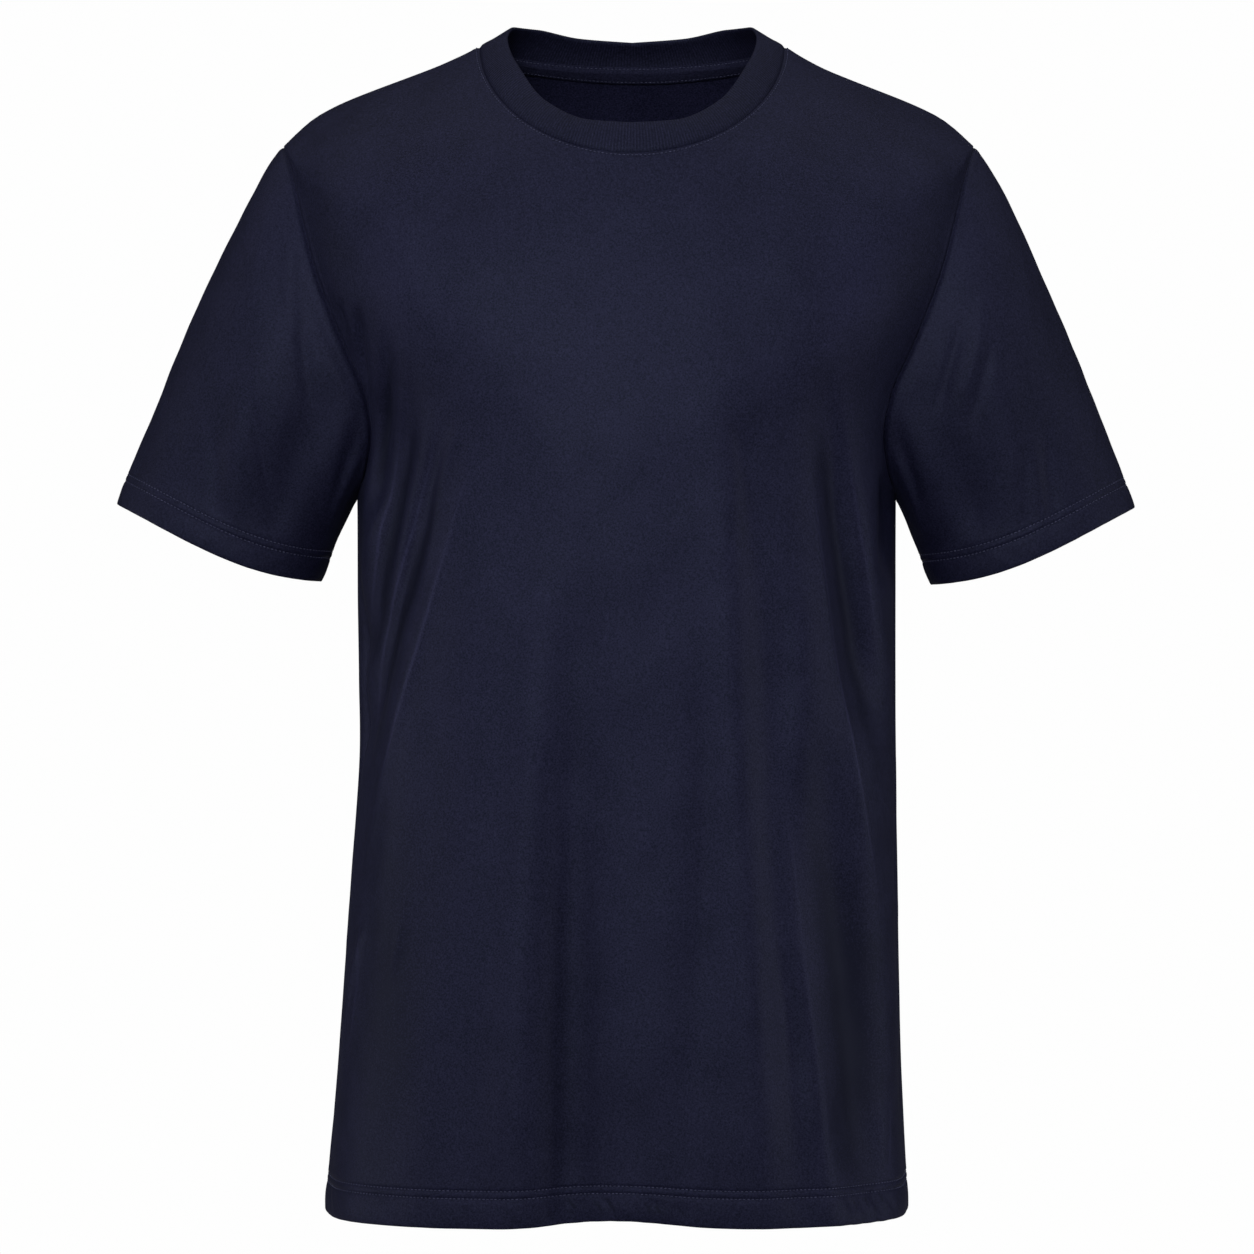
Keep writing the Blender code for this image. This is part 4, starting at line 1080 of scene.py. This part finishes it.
def sleeve_fold_lift(angles, along):
    """Main ridges and troughs that run down a sleeve from its seam towards the cuff."""
    lift = np.zeros((len(along), len(angles)))
    for fold in SLEEVE_FOLDS:
        share = (along - fold.along_top) / (fold.along_low - fold.along_top)
        line = fold.angle_top + share * (fold.angle_low - fold.angle_top)
        fade = np.clip(1.0 - (2.0 * share - 1.0) ** 4, 0.0, 1.0)
        turn = (angles[None, :] - line[:, None] + 180.0) % 360.0 - 180.0
        lift += fold.height * fade[:, None] * bump(turn, fold.half_width)
    return lift


def sleeve_form(side):
    """Outer points, normals and distances of a sleeve, from its armhole to its cuff edge."""
    side_sign = SIDES[side]
    wave_seed, pucker_seed = SLEEVE_SEEDS[side]
    loop, angles = armhole_loop(side_sign)
    cuff, run = cuff_loop(angles, side)
    fold_line = cuff - run * CUFF_BAND
    length = np.linalg.norm(fold_line - loop, axis=1, keepdims=True)
    reach, settle = read_columns(SLEEVE_STARTS, "angle", "reach settle", np.abs(angles))
    start_handle = loop + sleeve_starts(angles, side_sign) * length * reach[:, None]
    end_handle = fold_line - run * length * settle[:, None]
    parts = np.concatenate([ROWS_BY_ARMHOLE, np.linspace(SLEEVE_ROWS_FROM, 1.0, SLEEVE_ROWS)])
    part = parts[:, None, None]
    tube = (1.0 - part) ** 3 * loop + 3.0 * part * (1.0 - part) ** 2 * start_handle
    tube = tube + 3.0 * part ** 2 * (1.0 - part) * end_handle + part ** 3 * fold_line
    above = close_rows(np.linspace(0.0, CUFF_BAND - BAND_GAP, CUFF_ROWS), CUFF_STITCHES)[::-1]
    points = np.concatenate([tube, cuff[None] - above[:, None, None] * run])
    along = np.concatenate([parts, 1.0 + BAND_SHARE * (1.0 - above / CUFF_BAND)])
    from_seam = arcs(points, 0)
    above_edge = from_seam[-1:] - from_seam
    across = METRES_PER_DEGREE * np.broadcast_to(angles, along.shape + angles.shape)
    order = np.argsort(angles)
    creases = []
    for *marks, half_width, height in SLEEVE_CREASES[side]:
        places = []
        for angle, place in zip(marks[0::2], marks[1::2]):
            down = np.interp(angle, angles[order], from_seam[-1][order]) * place
            places += [angle * METRES_PER_DEGREE, -down]
        creases.append(Fold(*places, half_width, height, SLEEVE_CREASE_FLARE, 0.0))
    fade = 1.0 - bump(from_seam, FLAT_BY_ARMHOLE)
    cuff_fade = 1.0 - FLAT_BY_CUFF[0] * bump(above_edge, FLAT_BY_CUFF[1])
    lift = sleeve_fold_lift(angles, along)
    lift += fold_lift(across, -from_seam, creases, **CREASE) * fade * cuff_fade
    ring = np.radians(angles)[None, :]
    lift += slow_waves(SLEEVE_RADIUS * np.cos(ring) + 0.0 * from_seam,
                       SLEEVE_RADIUS * np.sin(ring) - from_seam, wave_seed,
                       SLEEVE_WAVES) * fade * cuff_fade
    lift += hem_relief(above_edge, CUFF_STITCHES, CUFF_DEPTH)
    lift += hem_pucker(across, above_edge, CUFF_STITCHES[0], pucker_seed, CUFF_PUCKER_SHARE)
    lift += seam_relief(from_seam) + seam_relief(np.abs(across))
    normals = grid_normals(points, wraps=True) * -side_sign
    normals[0] = shared_normals[side]["loop"]
    points = points + normals * lift[..., None]
    normals = grid_normals(points, wraps=True) * -side_sign
    return Form(points[::-1], normals[::-1], across, above_edge[::-1], from_seam[::-1])


# Painted shade: the sleeves' jersey is a darker copy of the body's jersey.
SLEEVE_PAINTED_SHADE_LIGHTNESS = 0.86
# Painted light: a paler band painted down the front and the back of a sleeve.
SLEEVE_PAINTED_LIGHT = {"middle_v": 0.235, "width": 0.070, "reach": 0.150}
SLEEVE_PAINTED_LIGHT_SHARE = 0.34
SLEEVE_PAINTED_LIGHT_U = (-0.135, 0.135)
sleeve_painted_light = [(SLEEVE_PAINTED_LIGHT_SHARE, edge_values((0.0, 0.0, 0.0, middle), **SLEEVE_PAINTED_LIGHT))
                for middle in SLEEVE_PAINTED_LIGHT_U]
sleeve_material = jersey_material("navy_jersey_sleeves_painted_light_and_shade", SLEEVE_PAINTED_SHADE_LIGHTNESS, sleeve_painted_light)
sleeve_forms = {side: sleeve_form(side) for side in SIDES}
for side, form in sleeve_forms.items():
    sleeve = add_jersey("sleeve_jersey_" + side, form, CUFF_DEPTH, sleeve_material, wraps=True)
    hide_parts("sleeve_" + side)


# ---- Rib collar ----
# A band of fine 1x1 rib knit, folded double along its upper edge and sewn round the neck.
# It is eased on, so that it stands up at the back and lies flat at the front.

NECK_TOP_HALF_WIDTH = 0.0760
TopEdge = namedtuple("TopEdge", "angle y z")
NECK_TOP = table(
    TopEdge,
    (0, -0.088, -0.055), (20, -0.083, -0.0528), (43, -0.063, -0.0392), (65, -0.036, -0.015),
    (90, -0.006, 0.005), (110, 0.014, 0.0138), (130, 0.032, 0.0145), (155, 0.046, 0.0105),
    (180, 0.05, 0.0084))
RIB_WALL = 0.0020
RIB_BOW = 0.0014
RIBS = 290
COLUMNS_A_RIB = 4
RIB_RELIEF = 0.00030
RIB_FADE = 0.10
REVERSE_RELIEF = -0.6
TOP_RELIEF = 0.3
# Painted shade in the rib's grooves and a painted highlight on its ridges.
RIB_PAINTED_SHADE = 0.34
RIB_LIGHTNESS = 0.80
RIB_ROUGHNESS = 0.55
RIB_BUMP = (0.30, 0.00012)
COLLAR_HEIGHT = 0.0200
LOWER_SHARES = (0.0, 0.03, 0.06, 0.10, 0.15)
UPPER_FROM = 0.22
UPPER_RINGS = 9
TURN_ANGLES = (30.0, 60.0, 90.0, 120.0, 150.0)
REVERSE_RINGS = 10
MEASURING_ANGLES = 2881
NORMAL_STEP = 0.5


def neck_seam(angles):
    """Collar seam and the collar's upper edge at angles round the neck, in degrees."""
    away = (angles + 180.0) % 360.0 - 180.0
    in_front = np.abs(away) <= 90.0
    spread = np.where(in_front, away, np.sign(away) * 180.0 - away) / 90.0
    front, back = (body_surface([3.0], spread[None], face)[0] for face in ("front", "back"))
    seam = np.where(in_front[:, None], front, back)
    top_x = BODY_SECTIONS[-1].shift + NECK_TOP_HALF_WIDTH * np.sin(np.radians(away))
    return seam, np.stack([top_x, *read_columns(NECK_TOP, "angle", "y z", np.abs(away))], axis=-1)


def neck_frame(angles):
    """Collar seam, upper edge, and the outward normals between them."""
    seam, top = neck_seam(angles)
    along = unit(neck_seam(angles + NORMAL_STEP)[0] - neck_seam(angles - NORMAL_STEP)[0])
    return seam, top, unit(np.cross(along, unit(top - seam)))


def even_angles(count):
    """Angles that stand evenly round the collar seam."""
    fine = np.linspace(0.0, 360.0, MEASURING_ANGLES)
    length = arcs(neck_seam(fine)[0][None], 1)[0]
    return np.interp(np.arange(count) * length[-1] / count, length, fine)


def rib_knit_material():
    """Navy rib knit, with painted shade in the grooves between its ribs and a painted highlight on
    their ridges.
    """
    material, tree, shader, tone = cloth_material("navy_rib", *navy(RIB_LIGHTNESS), RIB_ROUGHNESS)
    maths = maths_in(tree)
    turn = maths("MULTIPLY", split_vector(tree, cloth_uv(tree))["X"], 2.0 * np.pi)
    # Painted shade between the ribs and a painted highlight on them.
    ridges = maths("MULTIPLY_ADD", maths("COSINE", turn), RIB_PAINTED_SHADE, 1.0)
    shaded = tree.nodes.new("ShaderNodeVectorMath")
    shaded.operation = "SCALE"
    tree.links.new(shader.inputs["Base Color"].links[0].from_socket, shaded.inputs[0])
    tree.links.new(ridges, shaded.inputs["Scale"])
    tree.links.new(shaded.outputs["Vector"], shader.inputs["Base Color"])
    add_bump(tree, shader, tone["Grain"], *RIB_BUMP)
    return material


rib_angles = even_angles(RIBS * COLUMNS_A_RIB)
seam_edge, top_edge, rib_normals = neck_frame(rib_angles)
rise = unit(top_edge - seam_edge)
ridge = 0.5 + 0.5 * np.cos(2.0 * np.pi * np.arange(len(rib_angles)) / COLUMNS_A_RIB)
fold_share = 1.0 - 0.5 * RIB_WALL / COLLAR_HEIGHT


def collar_ring(share, depth, relief, rounding=0.0):
    """One ring of the collar, at a share of its height and a depth below its outer face."""
    bow = RIB_BOW * 4.0 * share * (1.0 - share)
    bow = bow - SEAM_DIP * bump(share * COLLAR_HEIGHT, SEAM_SOFTNESS)
    lift = bow - depth + relief * RIB_RELIEF * ridge[:, None]
    return seam_edge + (top_edge - seam_edge) * share + rise * rounding + rib_normals * lift


outer_shares = np.concatenate([LOWER_SHARES, np.linspace(UPPER_FROM, fold_share, UPPER_RINGS)])
rings = [collar_ring(share, 0.0, min(1.0, share / RIB_FADE)) for share in outer_shares]
for turn in np.radians(TURN_ANGLES):
    depth = 0.5 * RIB_WALL * (1.0 - np.cos(turn))
    rings.append(collar_ring(fold_share, depth,
                             abs(np.cos(turn)) * (1.0 - TOP_RELIEF) + TOP_RELIEF,
                             0.5 * RIB_WALL * np.sin(turn)))
for share in np.linspace(fold_share, 0.0, REVERSE_RINGS):
    rings.append(collar_ring(share, RIB_WALL, REVERSE_RELIEF))
rings = np.array(rings)
here = np.arange(rings.shape[0] * rings.shape[1]).reshape(rings.shape[:2])
ahead, above = np.roll(here, -1, axis=1), np.roll(here, -1, axis=0)
collar_faces = np.stack([here, ahead, np.roll(ahead, -1, axis=0), above], axis=-1)
collar_mesh = bpy.data.meshes.new("collar_rib")
collar_mesh.from_pydata(rings.reshape(-1, 3).tolist(), [], collar_faces.reshape(-1, 4).tolist())
rib_place = np.arange(len(rib_angles)) / COLUMNS_A_RIB
rib_pair = np.stack([rib_place, rib_place + 1.0 / COLUMNS_A_RIB], axis=-1)[:, [0, 1, 1, 0]]
rib_v = np.arange(len(rings))[:, None, None] + np.array([0, 0, 1, 1])
add_cloth_places(collar_mesh, *np.broadcast_arrays(rib_pair, rib_v))
collar = link_piece("collar_rib", collar_mesh, rib_knit_material())
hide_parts("neck_rib")


# ---- Neck tape ----
# A narrow strip of the same jersey that covers the collar seam inside the back of the neck.
# It is folded in along both edges and stitched down along each.

TAPE_ABOVE = 0.0042
TAPE_BELOW = 0.0072
TAPE_WIDTH = TAPE_ABOVE + TAPE_BELOW
TAPE_LEVEL = 2.9
TAPE_SWEEP = 80.0
TAPE_THICKNESS = 0.0008
TAPE_CLEAR = 0.00025
TAPE_COLUMNS = 180
TAPE_ROWS = (12, 5)
TAPE_ROWS_FROM = 0.0004
TAPE_FOLD_ROWS = 3
TAPE_STITCH_INSET = 0.0011
TAPE_STITCHES = (TAPE_STITCH_INSET, TAPE_WIDTH - TAPE_STITCH_INSET)
TAPE_GROOVE = (0.00025, 0.0006)
TAPE_PUFF = 0.00035
# Painted light: the tape is the shirt's jersey, painted lighter.
TAPE_DARK = (0.0110, 0.0114, 0.0290)
TAPE_LIGHT = (0.0200, 0.0206, 0.0480)
TAPE_ROUGHNESS = 0.60
TAPE_WALE = 0.0010
TAPE_BUMP = (0.45, 0.00015)


def tape_material():
    """The tape's jersey, painted lighter than the shirt's inside as painted light on a strip that
    lies in shade.
    """
    material, tree, shader, _ = cloth_material("navy_tape_painted_light", TAPE_DARK, TAPE_LIGHT, TAPE_ROUGHNESS)
    knit = place_group(tree, KNIT, cloth_uv(tree), {"Wale width": TAPE_WALE})
    add_bump(tree, shader, knit["Height"], *TAPE_BUMP)
    return material


tape_angles = np.linspace(180.0 - TAPE_SWEEP, 180.0 + TAPE_SWEEP, TAPE_COLUMNS + 1)
tape_seam, tape_top, tape_normals = neck_frame(tape_angles)
tape_spread = (180.0 - tape_angles) / 90.0
tape_fall = unit(body_surface([TAPE_LEVEL], tape_spread[None], "back")[0] - tape_seam)
tape_rise = unit(tape_top - tape_seam)
tape_base = tape_seam - tape_normals * (RIB_WALL + TAPE_CLEAR)
tape_rows = np.concatenate([np.linspace(0.0, TAPE_BELOW, TAPE_ROWS[0]),
                            TAPE_BELOW + np.linspace(TAPE_ROWS_FROM, TAPE_ABOVE, TAPE_ROWS[1])])
tape_face = []
for height in tape_rows:
    below, above = max(0.0, TAPE_BELOW - height), max(0.0, height - TAPE_BELOW)
    off_seam = tape_fall * below + tape_rise * above
    grooves = sum(bump(height - row, TAPE_GROOVE[1]) for row in TAPE_STITCHES)
    puff = TAPE_PUFF * np.sin(np.pi * height / TAPE_WIDTH) ** 0.5 - TAPE_GROOVE[0] * grooves
    tape_face.append(tape_base + off_seam - tape_normals * puff)
tape_face = np.array(tape_face)
tape_back = tape_face - tape_normals * TAPE_THICKNESS
tape_across, tape_along = np.broadcast_arrays(arcs(tape_seam[None], 1), tape_rows[:, None])
tape_mesh = cloth_mesh("neck_tape_strip", tape_face, tape_back, tape_across, tape_along,
                       TAPE_FOLD_ROWS)
tape = link_piece("neck_tape_strip", tape_mesh, tape_material())
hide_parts("neck_tape")


# ---- Stitches ----
# Short stitches of navy thread in rows: two round the hem and each cuff, one below the collar
# seam and one along each edge of the neck tape. Each lies in the groove it pulls in the cloth.

STITCH_SIZES = {"Pitch": 0.0025, "Stitch length": 0.0017, "Thread thickness": 0.00060}
THREAD_RISE = 0.00020
COLLAR_STITCHES = 0.0020
THREAD_SIDES = 6
THREAD_RINGS = 4
UNEVEN_FROM = 0.86
UNEVEN_TO = 1.08
THREAD_DARK = (0.0420, 0.0450, 0.0860)
THREAD_LIGHT = (0.0700, 0.0740, 0.1350)
THREAD_ROUGHNESS = 0.50


def stitch_tree(material):
    """Node tree that lays short stitches along a line, flat on the normals the line carries."""
    tree = bpy.data.node_groups.new("Stitch row", "GeometryNodeTree")
    add_socket = tree.interface.new_socket
    add_socket("Line", in_out="INPUT", socket_type="NodeSocketGeometry")
    for title, value in {**STITCH_SIZES, "Seed": 1}.items():
        kind = "NodeSocketInt" if title == "Seed" else "NodeSocketFloat"
        add_socket(title, in_out="INPUT", socket_type=kind).default_value = value
    add_socket("Stitches", in_out="OUTPUT", socket_type="NodeSocketGeometry")
    add = tree.nodes.new
    start, end = add("NodeGroupInput"), add("NodeGroupOutput")
    curve, spaced = add("GeometryNodeMeshToCurve"), add("GeometryNodeResampleCurve")
    tangent, normal = add("GeometryNodeInputTangent"), add("GeometryNodeInputNamedAttribute")
    ahead, flat = (add("FunctionNodeAlignRotationToVector") for _ in range(2))
    uneven, length = add("FunctionNodeRandomValue"), add("ShaderNodeMath")
    stitch, size = add("GeometryNodeMeshUVSphere"), add("ShaderNodeCombineXYZ")
    rows, real = add("GeometryNodeInstanceOnPoints"), add("GeometryNodeRealizeInstances")
    smooth, finish = add("GeometryNodeSetShadeSmooth"), add("GeometryNodeSetMaterial")
    spaced.mode = "LENGTH"
    normal.data_type, uneven.data_type = "FLOAT_VECTOR", "FLOAT"
    ahead.axis, flat.axis, flat.pivot_axis = "X", "Z", "X"
    length.operation = "MULTIPLY"
    for node, socket, value in (
            (stitch, "Segments", THREAD_SIDES), (stitch, "Rings", THREAD_RINGS),
            (stitch, "Radius", 0.5), (normal, "Name", "cloth_normal"),
            (uneven, 2, UNEVEN_FROM), (uneven, 3, UNEVEN_TO), (finish, "Material", material)):
        node.inputs[socket].default_value = value
    for source, output, target, socket in (
            (start, "Line", curve, "Mesh"), (curve, "Curve", spaced, "Curve"),
            (start, "Pitch", spaced, "Length"), (start, "Seed", uneven, "Seed"),
            (uneven, 1, length, 0), (start, "Stitch length", length, 1), (length, 0, size, "X"),
            (start, "Thread thickness", size, "Y"), (start, "Thread thickness", size, "Z"),
            (tangent, "Tangent", ahead, "Vector"), (ahead, "Rotation", flat, "Rotation"),
            (normal, "Attribute", flat, "Vector"), (spaced, "Curve", rows, "Points"),
            (stitch, "Mesh", rows, "Instance"), (flat, "Rotation", rows, "Rotation"),
            (size, "Vector", rows, "Scale"), (rows, "Instances", real, "Geometry"),
            (real, "Geometry", smooth, "Geometry"), (smooth, "Geometry", finish, "Geometry"),
            (finish, "Geometry", end, "Stitches")):
        tree.links.new(source.outputs[output], target.inputs[socket])
    return tree


def line_at(points, normals, distances, value, closed=False):
    """The line over a piece where a distance has one value, traced column by column."""
    def trace(values):
        return np.array([[np.interp(value, distances[:, column], values[:, column, axis])
                          for axis in range(3)] for column in range(values.shape[1])])
    facing = unit(trace(normals))
    return trace(points) + THREAD_RISE * facing, facing, closed


def add_stitches(name, lines, seed):
    """Stitches along some lines as one piece, from the shared node tree."""
    edges, first = [], 0
    for points, _, closed in lines:
        after = first + len(points)
        edges += [(at, at + 1) for at in range(first, after - 1)]
        edges += [(after - 1, first)] if closed else []
        first = after
    mesh = bpy.data.meshes.new(name + "_line")
    mesh.from_pydata(np.concatenate([line[0] for line in lines]).tolist(), edges, [])
    carried = mesh.attributes.new("cloth_normal", "FLOAT_VECTOR", "POINT")
    facing = np.concatenate([line[1] for line in lines])
    carried.data.foreach_set("vector", facing.astype(np.float32).ravel())
    piece = bpy.data.objects.new(name, mesh)
    bpy.context.scene.collection.objects.link(piece)
    modifier = piece.modifiers.new("stitches", "NODES")
    modifier.node_group = STITCHES
    values = {**STITCH_SIZES, "Seed": seed}
    for socket in STITCHES.interface.items_tree:
        if socket.in_out == "INPUT" and socket.name in values:
            modifier[socket.identifier] = values[socket.name]
    view = bpy.context.evaluated_depsgraph_get()
    stitched = bpy.data.meshes.new_from_object(piece.evaluated_get(view), depsgraph=view)
    piece.modifiers.remove(modifier)
    piece.data = stitched
    bpy.data.meshes.remove(mesh)
    stitched.name = name
    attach(piece, "root")


STITCHES = stitch_tree(
    cloth_material("navy_thread", THREAD_DARK, THREAD_LIGHT, THREAD_ROUGHNESS)[0])
for face, form in (("front", front_form), ("back", back_form)):
    add_stitches("hem_stitches_" + face, [line_at(form.outer, form.normals, form.along, row)
                                          for row in HEM_STITCHES], seed=3)
for side, form in sleeve_forms.items():
    add_stitches("cuff_stitches_" + side, [line_at(form.outer, form.normals, form.along, row, True)
                                           for row in CUFF_STITCHES], seed=5)
add_stitches("collar_stitches", [
    line_at(form.outer[::-1], form.normals[::-1], form.from_seam[::-1], COLLAR_STITCHES)
    for form in (front_form, back_form)], seed=7)
tape_inward = np.broadcast_to(-tape_normals, tape_back.shape)
add_stitches("tape_stitches", [line_at(tape_back, tape_inward, tape_along, row)
                               for row in TAPE_STITCHES], seed=9)


# ---- Floor, light and camera ----
# A plain pale floor well below the shirt, which its wearer would hold up, soft light from
# large panels in front and behind, and a level camera straight in front.

FLOOR_HEIGHT = -1.20
FLOOR_RADIUS = 2.6
FLOOR_SIDES = 96
FLOOR_GREY = 0.30
FLOOR_GLOW = 0.72
FLOOR_ROUGHNESS = (0.80, 0.05)
FLOOR_NOISE = {"Scale": 3.0, "Detail": 2.0}
CAMERA_AT = (-0.001, -3.0, -0.354)
LENS = 141.2
SENSOR = 36.0
WHITE = (1.0, 1.0, 1.0, 1.0)


def floor_material():
    """Pale matt floor, lit evenly enough to merge into the white round it."""
    material = bpy.data.materials.new("pale_floor")
    material.use_nodes = True
    tree = material.node_tree
    shader = tree.nodes["Principled BSDF"]
    maths = maths_in(tree)
    noise = tree.nodes.new("ShaderNodeTexNoise")
    for title, value in FLOOR_NOISE.items():
        noise.inputs[title].default_value = value
    place = tree.nodes.new("ShaderNodeTexCoord").outputs["Object"]
    tree.links.new(place, noise.inputs["Vector"])
    rough = maths("MULTIPLY_ADD", noise.outputs["Fac"], FLOOR_ROUGHNESS[1], FLOOR_ROUGHNESS[0])
    tree.links.new(rough, shader.inputs["Roughness"])
    shader.inputs["Base Color"].default_value = (FLOOR_GREY, FLOOR_GREY, FLOOR_GREY, 1.0)
    shader.inputs["Emission Color"].default_value = WHITE
    seen = tree.nodes.new("ShaderNodeLightPath").outputs["Is Camera Ray"]
    tree.links.new(maths("MULTIPLY", seen, FLOOR_GLOW), shader.inputs["Emission Strength"])
    return material


floor_mesh = bpy.data.meshes.new("floor")
floor_turns = np.linspace(0.0, 2.0 * np.pi, FLOOR_SIDES, endpoint=False)
floor_mesh.from_pydata([(FLOOR_RADIUS * np.cos(turn), FLOOR_RADIUS * np.sin(turn), FLOOR_HEIGHT)
                        for turn in floor_turns], [], [range(FLOOR_SIDES)])
floor_mesh.materials.append(floor_material())
floor = bpy.data.objects.new("floor", floor_mesh)
bpy.context.scene.collection.objects.link(floor)

Lamp = namedtuple("Lamp", "name place aim width height power spread")
LAMPS = (
    Lamp("left_strip_light", (-2.70, -0.45, -0.55), (-0.15, -0.05, -0.56), 0.3, 0.7, 0.19, 20.0),
    Lamp("front_panel_light", (-0.40, -2.90, 0.30), (0.0, 0.0, -0.27), 0.8, 0.8, 0.95, 24.0),
    Lamp("right_strip_light", (2.70, -0.45, -0.55), (0.15, -0.05, -0.56), 0.3, 0.7, 0.18, 20.0),
    Lamp("back_panel_light", (0.30, 3.20, 0.60), (0.0, 0.0, -0.32), 2.2, 1.8, 45.0, 180.0),
)
for lamp in LAMPS:
    light = bpy.data.lights.new(lamp.name, "AREA")
    light.shape = "RECTANGLE"
    light.size, light.size_y = lamp.width, lamp.height
    light.energy = lamp.power
    light.spread = np.radians(lamp.spread)
    lamp_object = bpy.data.objects.new(lamp.name, light)
    lamp_object.location = lamp.place
    aim = Vector(lamp.aim) - Vector(lamp.place)
    lamp_object.rotation_euler = aim.to_track_quat("-Z", "Y").to_euler()
    lamp_object.visible_glossy = lamp.name != "back_panel_light"
    bpy.context.scene.collection.objects.link(lamp_object)

# A soft dome that is brighter in front and overhead, and plain white where it is seen.
DOME_LEVEL = 0.31
DOME_FALL = -1.10
DOME_MOST = 0.33
DOME_LEAST = 0.03
DOME_OVERHEAD = 0.50
BACKGROUND_SEEN = 0.99

world = bpy.data.worlds.new("studio")
world.use_nodes = True
bpy.context.scene.world = world
tree = world.node_tree
background = tree.nodes["Background"]
maths = maths_in(tree)
seen = tree.nodes.new("ShaderNodeLightPath").outputs["Is Camera Ray"]
way = split_vector(tree, tree.nodes.new("ShaderNodeTexCoord").outputs["Generated"])
dome = maths("MINIMUM", maths("MULTIPLY_ADD", way["Y"], DOME_FALL, DOME_LEVEL), DOME_MOST)
overhead = maths("MAXIMUM", way["Z"], 0.0)
dome = maths("MULTIPLY_ADD", overhead, DOME_OVERHEAD, dome)
dome = maths("MAXIMUM", dome, DOME_LEAST)
unseen = maths("SUBTRACT", 1.0, seen)
level = maths("MULTIPLY_ADD", unseen, dome, maths("MULTIPLY", seen, BACKGROUND_SEEN))
tree.links.new(level, background.inputs["Strength"])
background.inputs["Color"].default_value = WHITE

camera_data = bpy.data.cameras.new("camera")
camera_data.lens = LENS
camera_data.sensor_width = SENSOR
camera = bpy.data.objects.new("camera", camera_data)
camera.location = CAMERA_AT
camera.rotation_euler = (np.radians(90.0), 0.0, 0.0)
bpy.context.scene.collection.objects.link(camera)
bpy.context.scene.camera = camera
bpy.context.scene.view_settings.view_transform = "Standard"
